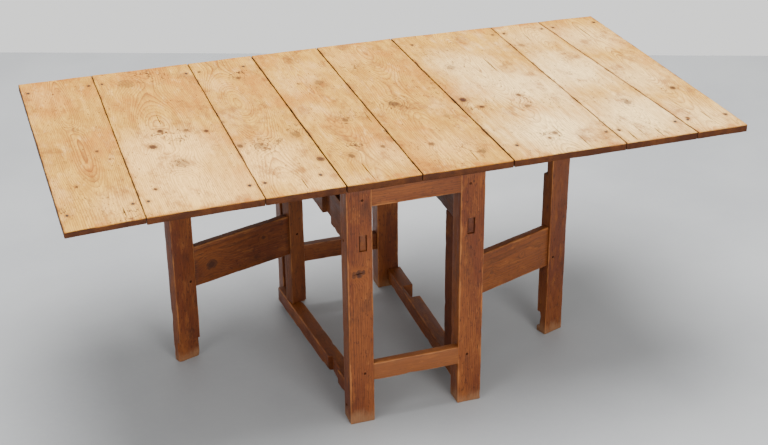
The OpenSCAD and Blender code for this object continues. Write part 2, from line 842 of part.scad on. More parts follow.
leg_front_left();
leg_front_right();
leg_rear_left();
leg_rear_right();
top_rail_front();
top_rail_rear();
stretcher_front();
stretcher_rear();
side_rail_left();
side_rail_right();
stretcher_left();
stretcher_right();
frame_pegs();
top_board_left();
top_board_right();
top_dowels();
left_leaf_board_outer();
left_leaf_board_middle();
left_leaf_board_inner();
left_leaf_batten_front();
left_leaf_batten_rear();
left_leaf_nails();
right_leaf_board_inner();
right_leaf_board_middle();
right_leaf_board_outer();
right_leaf_batten_front();
right_leaf_batten_rear();
right_leaf_nails();
left_gate_post();
left_gate_rail();
left_gate_leg();
left_gate_pegs();
right_gate_post();
right_gate_rail();
right_gate_leg();
right_gate_pegs();
left_hinge_fixed_straps();
left_hinge_leaf_straps();
left_hinge_pins();
right_hinge_fixed_straps();
right_hinge_leaf_straps();
right_hinge_pins();
fixed_hinge_nails();
left_hinge_nails();
right_hinge_nails();
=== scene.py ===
"""Looks of the gateleg table: worn pine boards, a stained pine base and gates, forged iron.

Every wooden CAD node is replaced by a mesh of the same size with worn arrises, uneven ends,
checks and chips. The hidden iron and the dowels keep their CAD meshes. Metres, the CAD's frame.
"""

import json
import math

import bmesh
import bpy
from mathutils import Matrix, Vector, noise


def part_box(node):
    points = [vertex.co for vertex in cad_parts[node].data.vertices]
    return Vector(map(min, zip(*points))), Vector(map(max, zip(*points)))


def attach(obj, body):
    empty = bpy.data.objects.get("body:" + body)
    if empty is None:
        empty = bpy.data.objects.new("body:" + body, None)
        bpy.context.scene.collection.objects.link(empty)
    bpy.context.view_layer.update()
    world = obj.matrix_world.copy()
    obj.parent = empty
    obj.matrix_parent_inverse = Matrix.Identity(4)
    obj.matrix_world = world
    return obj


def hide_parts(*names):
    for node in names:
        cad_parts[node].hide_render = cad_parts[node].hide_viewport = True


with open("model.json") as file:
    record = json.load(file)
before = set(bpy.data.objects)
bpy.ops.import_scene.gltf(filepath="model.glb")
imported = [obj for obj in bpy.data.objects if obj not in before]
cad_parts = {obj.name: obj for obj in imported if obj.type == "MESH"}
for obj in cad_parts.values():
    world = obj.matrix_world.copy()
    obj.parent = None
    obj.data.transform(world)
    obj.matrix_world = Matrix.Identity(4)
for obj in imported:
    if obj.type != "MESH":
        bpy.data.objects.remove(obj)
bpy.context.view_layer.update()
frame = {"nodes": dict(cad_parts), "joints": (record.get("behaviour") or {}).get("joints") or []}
nodes = frame["nodes"]
joints = {j["name"]: j for j in frame["joints"]}

MM = 0.001
noise.seed_set(11)
# How far the left leaf's front outer corner hangs, and where its sag starts and ends
DROOP = 9 * MM
DROOP_X = (-0.52, -0.95)
DROOP_Y = (0.25, -0.50)
TOP_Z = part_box("top_board_left")[1].z
UNDER_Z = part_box("top_board_left")[0].z


# ---------------------------------------------------------------- camera, lights, floor

CAMERA_AT = Vector((-1.1988, -3.6831, 2.3422))
CAMERA_YAW = math.radians(18.614)
CAMERA_PITCH = math.radians(27.072)
CAMERA_ROLL = math.radians(-0.503)
CAMERA_LENS = 67.4
# Strengths of the world below and above the horizon, and the heights that it fades between
WALL_GLOW = 1.22
ROOM_GLOW = 0.74
HORIZON = (-0.12, -0.02)
# How far the floor reaches, where its far edge lies, and by how much that edge is turned
FLOOR_REACH = 8.0
FLOOR_BACK = 2.43
FLOOR_SKEW = 0.038


def view_axes():
    """The camera's right, up and forward directions."""
    level = math.cos(CAMERA_PITCH)
    forward = Vector((math.sin(CAMERA_YAW) * level, math.cos(CAMERA_YAW) * level, -math.sin(CAMERA_PITCH)))
    right = Vector((math.cos(CAMERA_YAW), -math.sin(CAMERA_YAW), 0))
    up = right.cross(forward)
    c, s = math.cos(CAMERA_ROLL), math.sin(CAMERA_ROLL)
    return c * right + s * up, c * up - s * right, forward


def add_object(name, data):
    made = bpy.data.objects.new(name, data)
    bpy.context.scene.collection.objects.link(made)
    return made


def make_camera():
    data = bpy.data.cameras.new("camera")
    data.sensor_width = 36
    data.lens = CAMERA_LENS
    camera = add_object("camera", data)
    right, up, forward = view_axes()
    turn = Matrix((right, up, -forward)).transposed().to_4x4()
    camera.matrix_world = Matrix.Translation(CAMERA_AT) @ turn
    bpy.context.scene.camera = camera


def area_light(name, at, aim, size, power, colour):
    data = bpy.data.lights.new(name, "AREA")
    data.shape = "DISK"
    data.size = size
    data.energy = power
    data.color = colour
    light = add_object(name, data)
    light.location = at
    light.rotation_euler = (Vector(aim) - Vector(at)).to_track_quat("-Z", "Y").to_euler()


def make_lights():
    area_light("overhead", (0.2, 1.1, 6.0), (0, 0.0, 0.0), 4.8, 880, (1.0, 0.995, 0.985))
    area_light("key", (0.9, -5.2, 2.1), (0, -0.2, 0.4), 2.4, 205, (1.0, 0.985, 0.96))
    area_light("side_fill", (-4.2, -3.0, 1.9), (0, -0.2, 0.4), 2.4, 100, (1.0, 0.99, 0.98))
    world = bpy.data.worlds.new("studio")
    world.use_nodes = True
    tree = world.node_tree
    background = tree.nodes["Background"]
    # Below the horizon the world is the pale studio wall; above it, a dimmer room
    direction = tree.nodes.new("ShaderNodeTexCoord")
    split = tree.nodes.new("ShaderNodeSeparateXYZ")
    level = tree.nodes.new("ShaderNodeMapRange")
    tree.links.new(direction.outputs["Generated"], split.inputs[0])
    tree.links.new(split.outputs[2], level.inputs["Value"])
    tree.links.new(level.outputs[0], background.inputs["Strength"])
    for socket, value in (("From Min", HORIZON[0]), ("From Max", HORIZON[1]),
                          ("To Min", WALL_GLOW), ("To Max", ROOM_GLOW)):
        level.inputs[socket].default_value = value
    background.inputs["Color"].default_value = (1.0, 1.0, 0.985, 1)
    bpy.context.scene.world = world


# ---------------------------------------------------------------- shader helpers

def rgb(r, g, b):
    """A colour given as 0 to 255 screen values."""
    def linear(v):
        v = v / 255
        return v / 12.92 if v <= 0.04045 else ((v + 0.055) / 1.055) ** 2.4
    return (linear(r), linear(g), linear(b), 1)


class Net:
    """A material's node tree, written as plain expressions."""

    def __init__(self, name):
        self.material = bpy.data.materials.new(name)
        self.material.use_nodes = True
        self.tree = self.material.node_tree
        self.tree.nodes.clear()

    def add(self, kind, **settings):
        node = self.tree.nodes.new(kind)
        for key, value in settings.items():
            setattr(node, key, value)
        return node

    def put(self, socket, value):
        if isinstance(value, bpy.types.NodeSocket):
            self.tree.links.new(value, socket)
        elif value is not None:
            socket.default_value = value

    def math(self, operation, a, b=None, c=None):
        node = self.add("ShaderNodeMath", operation=operation)
        for socket, value in zip(node.inputs, (a, b, c)):
            self.put(socket, value)
        return node.outputs[0]

    def plus(self, a, b):
        return self.math("ADD", a, b)

    def minus(self, a, b):
        return self.math("SUBTRACT", a, b)

    def times(self, a, b, plus=None):
        """a times b, with plus added where it is given."""
        return self.math("MULTIPLY" if plus is None else "MULTIPLY_ADD", a, b, plus)

    def vector_math(self, operation, a, b=None):
        node = self.add("ShaderNodeVectorMath", operation=operation)
        self.put(node.inputs[0], a)
        self.put(node.inputs[1], b)
        return node.outputs["Value"] if operation == "LENGTH" else node.outputs["Vector"]

    def distance(self, point, at, scale):
        """How far point is from at, with each axis scaled."""
        offset = self.vector_math("SUBTRACT", point, at)
        return self.vector_math("LENGTH", self.vector_math("MULTIPLY", offset, scale))

    def span(self, value, low, high, to_low=0.0, to_high=1.0, smooth=True):
        """value carried from low..high to to_low..to_high and held there."""
        node = self.add("ShaderNodeMapRange", interpolation_type="SMOOTHSTEP" if smooth else "LINEAR")
        for socket, v in zip(node.inputs, (value, low, high, to_low, to_high)):
            self.put(socket, v)
        return node.outputs[0]

    def split(self, vector):
        node = self.add("ShaderNodeSeparateXYZ")
        self.put(node.inputs[0], vector)
        return node.outputs[0], node.outputs[1], node.outputs[2]

    def join(self, x, y, z):
        node = self.add("ShaderNodeCombineXYZ")
        for socket, value in zip(node.inputs, (x, y, z)):
            self.put(socket, value)
        return node.outputs[0]

    def noise(self, vector, stretch, detail=2.0, rough=0.5, seed=0.0):
        """Noise from 0 to 1 at the given number of waves per metre along X, Y and Z."""
        scaled = self.vector_math("MULTIPLY", vector, stretch)
        moved = self.vector_math("ADD", scaled, (seed * 3.17, seed * 5.71, seed * 2.39))
        node = self.add("ShaderNodeTexNoise")
        self.put(node.inputs["Vector"], moved)
        node.inputs["Scale"].default_value = 1.0
        node.inputs["Detail"].default_value = detail
        node.inputs["Roughness"].default_value = rough
        return node.outputs["Fac"]

    def swing(self, vector, stretch, rough, seed, reach, detail=2.0):
        """Noise that goes from -reach to reach."""
        return self.span(self.noise(vector, stretch, detail, rough, seed), 0, 1, -reach, reach, False)

    def spots(self, vector, stretch, detail, rough, seed, low, high, most=1.0):
        """Patches where noise rises from low to high, most strong at the middle."""
        return self.span(self.noise(vector, stretch, detail, rough, seed), low, high, 0.0, most)

    def mix(self, factor, a, b):
        node = self.add("ShaderNodeMix", data_type="RGBA", blend_type="MIX")
        self.put(node.inputs[0], factor)
        self.put(node.inputs[6], a)
        self.put(node.inputs[7], b)
        return node.outputs[2]

    def ramp(self, factor, stops):
        node = self.add("ShaderNodeValToRGB")
        self.put(node.inputs[0], factor)
        elements = node.color_ramp.elements
        while len(elements) < len(stops):
            elements.new(0.5)
        for element, (place, grey) in zip(elements, stops):
            element.position = place
            element.color = (grey, grey, grey, 1)
        return node.outputs[0]

    def surface(self, colour, roughness, height, bump, distance, **fixed):
        """Ends the tree in one Principled shader. fixed are values that hold all over."""
        shader = self.add("ShaderNodeBsdfPrincipled")
        for key, value in fixed.items():
            shader.inputs[key.replace("_", " ")].default_value = value
        self.put(shader.inputs["Base Color"], colour)
        self.put(shader.inputs["Roughness"], roughness)
        node = self.add("ShaderNodeBump")
        node.inputs["Strength"].default_value = bump
        node.inputs["Distance"].default_value = distance
        self.put(node.inputs["Height"], height)
        self.put(shader.inputs["Normal"], node.outputs[0])
        output = self.add("ShaderNodeOutputMaterial")
        self.put(output.inputs["Surface"], shader.outputs[0])
        return self.material


def object_space(net, place):
    """Object coordinates carried into a member's own frame, given as (origin, turn about Z)."""
    coordinates = net.add("ShaderNodeTexCoord").outputs["Object"]
    node = net.add("ShaderNodeMapping", vector_type="TEXTURE")
    net.put(node.inputs["Vector"], coordinates)
    node.inputs["Location"].default_value = place[0]
    node.inputs["Rotation"].default_value = (0, 0, place[1])
    return node.outputs[0]


# Growth rings show as bands around a pith that runs along the board, below its face.
RING_SPACING = 4.6 * MM
FIBRE_STRETCH = (900, 26, 900)


def growth_rings(net, p, pith_x, pith_depth, seed, knots=(), spacing=RING_SPACING, wild=1.0):
    """How dark the late wood is, 0 to 1, for a point p whose grain runs along Y."""
    x, y, z = net.split(p)
    drift = net.swing(p, (3.0, 0.9, 3.0), 0.5, seed, 0.035 * wild)
    ripple = net.swing(p, (46, 7, 46), 0.6, seed + 1, 0.0028)
    sink = net.swing(p, (0.6, 1.7, 0.6), 0.5, seed + 2, 0.085 * wild, 1.0)
    across = net.plus(net.plus(net.minus(x, pith_x), drift), ripple)
    down = net.plus(net.minus(pith_depth, z), sink)
    radius = net.vector_math("LENGTH", net.join(across, 0.0, down))
    for at, size, _ in knots:
        near = knot_distance(net, p, at, size)
        radius = net.times(net.span(near, 0.2, 4.2, 1.0, 0.0), size * 1.15, radius)
    turn = net.math("FRACT", net.math("DIVIDE", radius, spacing))
    late = net.ramp(turn, ((0.0, 0.0), (0.35, 0.06), (0.72, 0.42), (0.9, 1.0), (1.0, 0.0)))
    strength = net.noise(net.join(net.times(radius, 46.0), seed, 0.0), (1, 1, 1), 1.0, 0.5, 0)
    return net.times(late, net.span(strength, 0.3, 0.7, 0.35, 1.0))


def knot_distance(net, p, at, size):
    """Distance from a knot's middle in units of its radius; knots are longer along the grain."""
    return net.distance(p, at, (1 / size, 0.72 / size, 0.9 / size))


def knot_marks(net, p, knots, colour, heart, seed):
    """colour with each knot's brown heart and its darker bark ring painted in."""
    wobble = net.swing(p, (70, 50, 70), 0.6, seed + 5, 0.45)
    broken = net.spots(p, (95, 60, 95), 2.0, 0.5, seed + 11, 0.40, 0.58)
    for at, size, depth in knots:
        near = net.plus(knot_distance(net, p, at, size), wobble)
        stain = net.times(net.span(near, 0.5, 3.2, 1.0, 0.0), 0.5 * depth)
        colour = net.mix(stain, colour, LATE_WOOD)
        core = net.times(net.span(near, 0.6, 1.2, 1.0, 0.0), depth)
        colour = net.mix(core, colour, heart)
        rim = net.span(net.math("ABSOLUTE", net.minus(near, 1.05)), 0.0, 0.26, 1.0, 0.0)
        bark = net.times(rim, net.times(broken, 0.25 + 0.65 * depth))
        colour = net.mix(bark, colour, BARK_RING)
    return colour


# ---------------------------------------------------------------- materials

HONEY = rgb(217, 166, 66)
HONEY_DEEP = rgb(176, 124, 38)
SCRUBBED = rgb(247, 197, 116)
BLEACHED = rgb(253, 216, 149)
LATE_WOOD = rgb(124, 66, 18)
AMBER = rgb(190, 120, 34)
SMUDGE = rgb(74, 38, 15)
KNOT_HEART = rgb(66, 34, 15)
BARK_RING = rgb(46, 26, 15)
SIDE_WORN = rgb(152, 93, 32)
END_ORANGE = rgb(163, 94, 26)
EDGE_BROWN = rgb(70, 36, 18)
EDGE_LIGHT = rgb(92, 51, 25)
EDGE_DARK = rgb(34, 16, 8)
SEAM_DIRT = rgb(40, 22, 12)


def undroop(net, z, x, y):
    """Height above the top's level face, with the left leaf's droop taken out."""
    across = net.span(x, DROOP_X[0], DROOP_X[1], 0.0, 1.0, False)
    forward = net.span(y, DROOP_Y[0], DROOP_Y[1], 0.0, 1.0, False)
    fall = net.times(net.times(across, across), forward)
    return net.times(fall, DROOP, z)


def board_material(name, outline, seed, pith, knots, worn, amber, rough, drooped, scrubbed):
    """Scrubbed pine. outline is the board's plan: left and right X at the front and rear, and both ends.

    worn is a list of (x, y, radius, strength) where the top has been scrubbed pale;
    amber says how much of the old finish is left on the rest.
    """
    net = Net(name)
    p = object_space(net, ((0, 0, TOP_Z), 0))
    x, y, z = net.split(p)
    if drooped:
        z = undroop(net, z, x, y)
        p = net.join(x, y, z)
    late = growth_rings(net, p, pith[0], pith[1], seed, knots)
    fibre = net.noise(p, FIBRE_STRETCH, 2.0, 0.6, seed + 3)
    cloud = net.noise(p, (5.0, 3.2, 5.0), 4.0, 0.6, seed + 4)
    cloud_fine = net.noise(p, (24, 11, 24), 4.0, 0.65, seed + 6)
    streak_wide = net.noise(p, (70, 5, 70), 3.0, 0.6, seed + 12)
    worn_cloud = net.times(streak_wide, 0.30, net.times(cloud_fine, 0.25, cloud))
    pale = net.span(worn_cloud, 0.80, 1.0, 0.0, 0.55)
    for px, py, radius, strength in worn:
        near = net.distance(p, (px, py, 0), (1 / radius, 0.8 / radius, 0))
        ragged = net.times(streak_wide, 0.7, net.times(cloud, 1.6, near))
        pale = net.math("MAXIMUM", pale, net.span(ragged, 1.2, 2.25, strength, 0.0))
    base = net.mix(net.span(cloud_fine, 0.38, 0.68, 0.0, amber), HONEY, HONEY_DEEP)
    base = net.mix(net.span(streak_wide, 0.42, 0.66, 0.0, 0.6), base, HONEY_DEEP)
    glow = net.noise(p, (6, 3.6, 6), 3.0, 0.6, seed + 14)
    base = net.mix(net.span(glow, 0.47, 0.68, 0.0, 0.62), base, AMBER)
    chalk = net.spots(p, (36, 11, 36), 4.0, 0.7, seed + 18, 0.54, 0.70, 0.42)
    base = net.mix(chalk, base, SCRUBBED)
    colour = net.mix(pale, base, scrubbed)
    dirt = net.spots(p, (15, 8, 15), 5.0, 0.72, seed + 16, 0.51, 0.70, 0.6)
    colour = net.mix(dirt, colour, LATE_WOOD)
    colour = net.mix(net.times(late, net.span(pale, 0, 1, 0.85, 0.6, False)), colour, LATE_WOOD)
    colour = net.mix(net.span(fibre, 0.40, 0.70, 0.0, 0.42), colour, LATE_WOOD)
    flecks = net.spots(p, (80, 30, 80), 3.0, 0.6, seed + 7, 0.60, 0.68)
    patches = net.spots(p, (9, 6, 9), 2.0, 0.5, seed + 8, 0.54, 0.68, 0.5)
    for px, py, radius in rough:
        near = net.distance(p, (px, py, 0), (1 / radius, 1 / radius, 0))
        near = net.times(cloud_fine, 1.1, near)
        patches = net.math("MAXIMUM", patches, net.span(near, 0.9, 1.7, 1.0, 0.0))
    curl = net.math("ABSOLUTE", net.minus(net.noise(p, (30, 17, 30), 2.0, 0.5, seed + 15), 0.5))
    flecks = net.math("MAXIMUM", flecks, net.span(curl, 0.004, 0.018, 0.75, 0.0))
    colour = net.mix(net.times(flecks, patches), colour, SMUDGE)
    specks = net.spots(p, (210, 70, 210), 2.0, 0.5, seed + 13, 0.64, 0.73, 0.75)
    colour = net.mix(specks, colour, SMUDGE)
    colour = knot_marks(net, p, knots, colour, KNOT_HEART, seed)
    # Grime and old finish held along the board's edges
    front_y, rear_y, left, right = outline

    def edge_at(edge):
        slope = (edge[1] - edge[0]) / (rear_y - front_y)
        return net.times(y, slope, edge[0] - front_y * slope)

    from_left = net.minus(x, edge_at(left))
    from_right = net.minus(edge_at(right), x)
    from_ends = net.math("MINIMUM", net.minus(y, front_y), net.minus(rear_y, y))
    side = net.math("MINIMUM", from_left, from_right)
    side_ragged = net.minus(side, net.times(net.span(cloud_fine, 0.4, 0.8), 0.011))
    end_ragged = net.minus(from_ends, net.times(net.span(cloud_fine, 0.4, 0.75), 0.04))
    colour = net.mix(net.span(side_ragged, -0.006, 0.006, 0.62, 0.0), colour, SIDE_WORN)
    colour = net.mix(net.span(end_ragged, -0.02, 0.012, 0.55, 0.0), colour, END_ORANGE)
    seam = net.minus(side, net.span(cloud_fine, 0.35, 0.75, 0.0, 0.003, False))
    colour = net.mix(net.span(seam, -0.0015, 0.0018, 0.88, 0.0), colour, SEAM_DIRT)
    # Below the upper arris the edges keep their brown patina
    edge_late = net.times(late, 0.45)
    streak = net.noise(p, (60, 60, 420), 3.0, 0.6, seed + 9)
    patina = net.mix(net.span(cloud_fine, 0.35, 0.7), EDGE_BROWN, EDGE_LIGHT)
    patina = net.mix(net.plus(edge_late, net.span(streak, 0.5, 0.75, 0.0, 0.5)), patina, EDGE_DARK)
    level = net.plus(z, net.span(cloud_fine, 0.3, 0.7, -0.0011, 0.0011, False))
    upper = net.span(level, -0.0034, -0.0014)
    colour = net.mix(upper, patina, colour)
    roughness = net.plus(net.span(cloud_fine, 0.3, 0.7, 0.56, 0.70), net.times(pale, 0.1))
    dents = net.noise(p, (38, 30, 38), 3.0, 0.55, seed + 10)
    height = net.plus(net.times(late, 0.5), net.times(fibre, 0.22))
    height = net.times(dents, 1.3, height)
    height = net.minus(height, net.times(flecks, 0.7))
    return net.surface(colour, roughness, height, 0.42, 0.0009, Specular_IOR_Level=0.14)


STAINED_WILD = 0.14
STAINED_RINGS = 4.4 * MM
STAINED_PITH_X = (-0.06, 0.075)
STAINED_PITH_DEPTH = 0.03
STAIN_MID = rgb(122, 64, 24)
STAIN_RED = rgb(98, 44, 15)
STAIN_LIGHT = rgb(150, 86, 35)
STAIN_DARK = rgb(50, 21, 8)
WORN_ARRIS = rgb(152, 95, 48)
GRIME = rgb(40, 20, 10)
# Painted shade and painted light: members in shadow are mixed towards the first colour, members facing the
# lamps towards the second
PAINTED_SHADE = rgb(34, 16, 8)
PAINTED_LIGHT = rgb(140, 88, 46)
FOOT_PALE = rgb(150, 112, 78)


def stained_material(name, place, axis, low, high, seed, painted_shading=0.0, knots=(), foot=False):
    """Old reddish-brown stained pine for a member with the given frame, grain axis and two corners.

    low and high are in the member's own frame. Above 0 the shading value paints the member darker as painted
    shade, below 0 lighter as painted light.
    """
    half = [(b - a) / 2 for a, b in zip(low, high)]
    middle = [(b + a) / 2 for a, b in zip(low, high)]
    net = Net(name)
    q = object_space(net, place)
    x, y, z = net.split(q)
    p = {"z": net.join(x, z, y), "x": net.join(y, x, z), "y": q}[axis]
    # The pith lies to one side of the member and a little behind its face
    across, deep = {"z": (0, 1), "x": (1, 2), "y": (0, 2)}[axis]
    pith_x = middle[across] + STAINED_PITH_X[seed % 2]
    pith_depth = middle[deep] + STAINED_PITH_DEPTH
    late = growth_rings(net, p, pith_x, pith_depth, seed, knots, STAINED_RINGS, STAINED_WILD)
    fibre = net.noise(p, FIBRE_STRETCH, 2.0, 0.6, seed + 3)
    cloud = net.noise(p, (9, 2.2, 9), 4.0, 0.6, seed + 4)
    cloud_fine = net.noise(p, (42, 12, 42), 4.0, 0.65, seed + 6)
    base = net.mix(net.span(cloud, 0.36, 0.62), STAIN_RED, STAIN_MID)
    base = net.mix(net.span(cloud_fine, 0.5, 0.74, 0.0, 0.55), base, STAIN_LIGHT)
    colour = net.mix(net.times(late, 0.72), base, STAIN_DARK)
    colour = net.mix(net.span(fibre, 0.40, 0.70, 0.0, 0.5), colour, STAIN_DARK)
    grime = net.spots(q, (14, 14, 14), 3.0, 0.6, seed + 8, 0.54, 0.76, 0.5)
    colour = net.mix(grime, colour, GRIME)
    scratches = net.spots(p, (260, 52, 260), 3.0, 0.7, seed + 16, 0.55, 0.72, 0.5)
    scratches = net.times(scratches, net.span(cloud_fine, 0.42, 0.66, 0.1, 1.0))
    colour = net.mix(scratches, colour, WORN_ARRIS)
    pits = net.spots(p, (190, 60, 190), 2.0, 0.6, seed + 17, 0.58, 0.68, 0.6)
    colour = net.mix(pits, colour, STAIN_DARK)
    colour = knot_marks(net, p, knots, colour, STAIN_DARK, seed)
    # Arrises rubbed back to lighter wood
    gaps = []
    for value, centre, reach in zip((x, y, z), middle, half):
        gaps.append(net.minus(reach, net.math("ABSOLUTE", net.minus(value, centre))))
    long_axis = "xyz".index(axis)
    a, b = [g for i, g in enumerate(gaps) if i != long_axis]
    ragged = net.span(cloud_fine, 0.35, 0.8, -0.002, 0.006, False)
    arris = net.minus(net.math("MAXIMUM", a, b), ragged)
    rubbed = net.span(arris, -0.001, 0.0034, 0.72, 0.0)
    colour = net.mix(rubbed, colour, WORN_ARRIS)
    if foot:
        level = net.plus(z, net.span(cloud_fine, 0.3, 0.7, -0.02, 0.02, False))
        colour = net.mix(net.span(level, 0.002, 0.045, 0.46, 0.0), colour, FOOT_PALE)
    # Painted light and shade: members in shadow are painted darker, members facing the light are painted
    # lighter
    if painted_shading > 0:
        colour = net.mix(painted_shading, colour, PAINTED_SHADE)
    elif painted_shading < 0:
        colour = net.mix(-painted_shading, colour, PAINTED_LIGHT)
    roughness = net.span(cloud_fine, 0.3, 0.7, 0.44, 0.6)
    height = net.plus(net.times(late, 0.6), net.times(fibre, 0.4))
    height = net.times(net.noise(q, (30, 30, 30), 3.0, 0.6, seed + 9), 1.5, height)
    return net.surface(colour, roughness, height, 0.5, 0.001, Specular_IOR_Level=0.28)


def iron_material(name, seed, rust):
    """Forged iron, brown-black with rust in patches."""
    net = Net(name)
    p = object_space(net, ((0, 0, 0), 0))
    patches = net.noise(p, (90, 90, 90), 4.0, 0.65, seed)
    pits = net.noise(p, (420, 420, 420), 3.0, 0.6, seed + 1)
    colour = net.mix(net.span(patches, 0.4, 0.66, 0.0, rust), rgb(32, 27, 24), rgb(66, 35, 20))
    colour = net.mix(net.span(pits, 0.55, 0.7, 0.0, 0.6), colour, rgb(16, 13, 12))
    return net.surface(colour, net.span(patches, 0.3, 0.7, 0.5, 0.8), pits, 0.5, 0.0006, Metallic=0.35)


def peg_material(name, seed, dark):
    """End grain of a hardwood peg, darker than the frame around it."""
    net = Net(name)
    p = object_space(net, ((0, 0, 0), 0))
    speckle = net.noise(p, (500, 500, 500), 3.0, 0.6, seed)
    cloud = net.noise(p, (60, 60, 60), 3.0, 0.6, seed + 1)
    colour = net.mix(net.span(cloud, 0.35, 0.65), rgb(71, 36, 17), rgb(46, 22, 11))
    colour = net.mix(net.span(speckle, 0.45, 0.7, 0.0, 0.6), colour, rgb(24, 12, 7))
    colour = net.mix(dark, colour, rgb(14, 8, 5))
    roughness = net.span(cloud, 0.3, 0.7, 0.7, 0.85)
    return net.surface(colour, roughness, speckle, 0.4, 0.0005, Specular_IOR_Level=0.1)


def floor_material():
    net = Net("studio_floor")
    p = object_space(net, ((0, 0, 0), 0))
    cloud = net.noise(p, (1.4, 1.4, 1.4), 4.0, 0.6, 2)
    grain = net.noise(p, (60, 60, 60), 3.0, 0.6, 3)
    colour = net.mix(net.span(cloud, 0.3, 0.7), rgb(150, 152, 155), rgb(159, 161, 163))
    colour = net.mix(net.span(grain, 0.4, 0.7, 0.0, 0.2), colour, rgb(160, 161, 162))
    return net.surface(colour, net.span(cloud, 0.3, 0.7, 0.5, 0.6), grain, 0.08, 0.0008)


def make_floor():
    """A plain floor whose far edge lies nearly square to the camera's view; beyond it is the pale studio."""
    skew = FLOOR_SKEW * FLOOR_REACH
    mesh = bpy.data.meshes.new("floor")
    across = Vector((math.cos(CAMERA_YAW), -math.sin(CAMERA_YAW), 0))
    away = Vector((math.sin(CAMERA_YAW), math.cos(CAMERA_YAW), 0))
    corners = [across * a + away * b for a, b in (
        (-FLOOR_REACH, -FLOOR_REACH), (FLOOR_REACH, -FLOOR_REACH),
        (FLOOR_REACH, FLOOR_BACK - skew), (-FLOOR_REACH, FLOOR_BACK + skew))]
    mesh.from_pydata([tuple(c) for c in corners], [], [(0, 1, 2, 3)])
    floor = add_object("floor", mesh)
    mesh.materials.append(floor_material())


# ---------------------------------------------------------------- mesh helpers

WORLD = ((0, 0, 0), 0)
SHARP_ABOVE = 38
CORNER_STEPS = 3


def smooth_by_angle(mesh):
    for polygon in mesh.polygons:
        polygon.use_smooth = True
    mesh.set_sharp_from_angle(angle=math.radians(SHARP_ABOVE))


def bake(mesh, name):
    """Mesh data made from a bmesh, with its faces turned outwards."""
    bmesh.ops.recalc_face_normals(mesh, faces=mesh.faces)
    data = bpy.data.meshes.new(name)
    mesh.to_mesh(data)
    mesh.free()
    return data


def bake_object(mesh, name):
    data = bake(mesh, name)
    smooth_by_angle(data)
    return add_object(name, data)


def skin(mesh, rings):
    """Joins each ring of vertices to the next one with faces and closes both ends."""
    for lower, upper in zip(rings, rings[1:]):
        for i in range(len(lower)):
            j = (i + 1) % len(lower)
            mesh.faces.new((lower[i], lower[j], upper[j], upper[i]))
    mesh.faces.new(list(reversed(rings[0])))
    mesh.faces.new(rings[-1])


def place_matrix(place):
    return Matrix.Translation(Vector(place[0])) @ Matrix.Rotation(place[1], 4, "Z")


def points_of(node, place=WORLD):
    """A CAD node's vertices in a member's own frame."""
    to_local = place_matrix(place).inverted()
    return [to_local @ v.co for v in nodes[node].data.vertices]


def extent(values):
    values = list(values)
    return min(values), max(values)


def corners(points):
    """The lowest and the highest corner of the box round some points."""
    low, high = zip(*(extent(p[i] for p in points) for i in range(3)))
    return Vector(low), Vector(high)


def local_box(node, place):
    return corners(points_of(node, place))


def islands(node):
    """(low corner, high corner) of each separate solid in a CAD node."""
    mesh = bmesh.new()
    mesh.from_mesh(nodes[node].data)
    bmesh.ops.remove_doubles(mesh, verts=mesh.verts, dist=1e-6)
    todo = set(mesh.verts)
    boxes = []
    while todo:
        group = [todo.pop()]
        for v in group:
            for e in v.link_edges:
                other = e.other_vert(v)
                if other in todo:
                    todo.remove(other)
                    group.append(other)
        boxes.append(corners([v.co for v in group]))
    mesh.free()
    return sorted(boxes, key=lambda b: (round(b[0].x, 4), round(b[0].y, 4), round(b[0].z, 4)))


def section(a0, a1, b0, b1, radii, counts):
    """A rectangle with rounded corners, as a loop of (a, b) points."""
    loop = []
    turns = ((a0, b0, 180), (a1, b0, 270), (a1, b1, 0), (a0, b1, 90))
    arcs = []
    for (a, b, start), radius in zip(turns, radii):
        centre_a = a + radius if a == a0 else a - radius
        centre_b = b + radius if b == b0 else b - radius
        arc = []
        for step in range(CORNER_STEPS + 1):
            angle = math.radians(start + 90 * step / CORNER_STEPS)
            arc.append((centre_a + radius * math.cos(angle), centre_b + radius * math.sin(angle)))
        arcs.append(arc)
    for i, arc in enumerate(arcs):
        loop.extend(arc)
        first, last = arc[-1], arcs[(i + 1) % 4][0]
        count = counts[i % 2]
        for step in range(1, count + 1):
            t = step / (count + 1)
            loop.append((first[0] + (last[0] - first[0]) * t, first[1] + (last[1] - first[1]) * t))
    return loop


def refine(stations, pitch):
    """Stations with others between them, so that none is further than pitch from the next."""
    fine = [stations[0]]
    for before, after in zip(stations, stations[1:]):
        count = max(1, math.ceil((after[0] - before[0]) / pitch))
        for step in range(1, count + 1):
            t = step / count
            fine.append(tuple(u + (v - u) * t for u, v in zip(before, after)))
    return fine


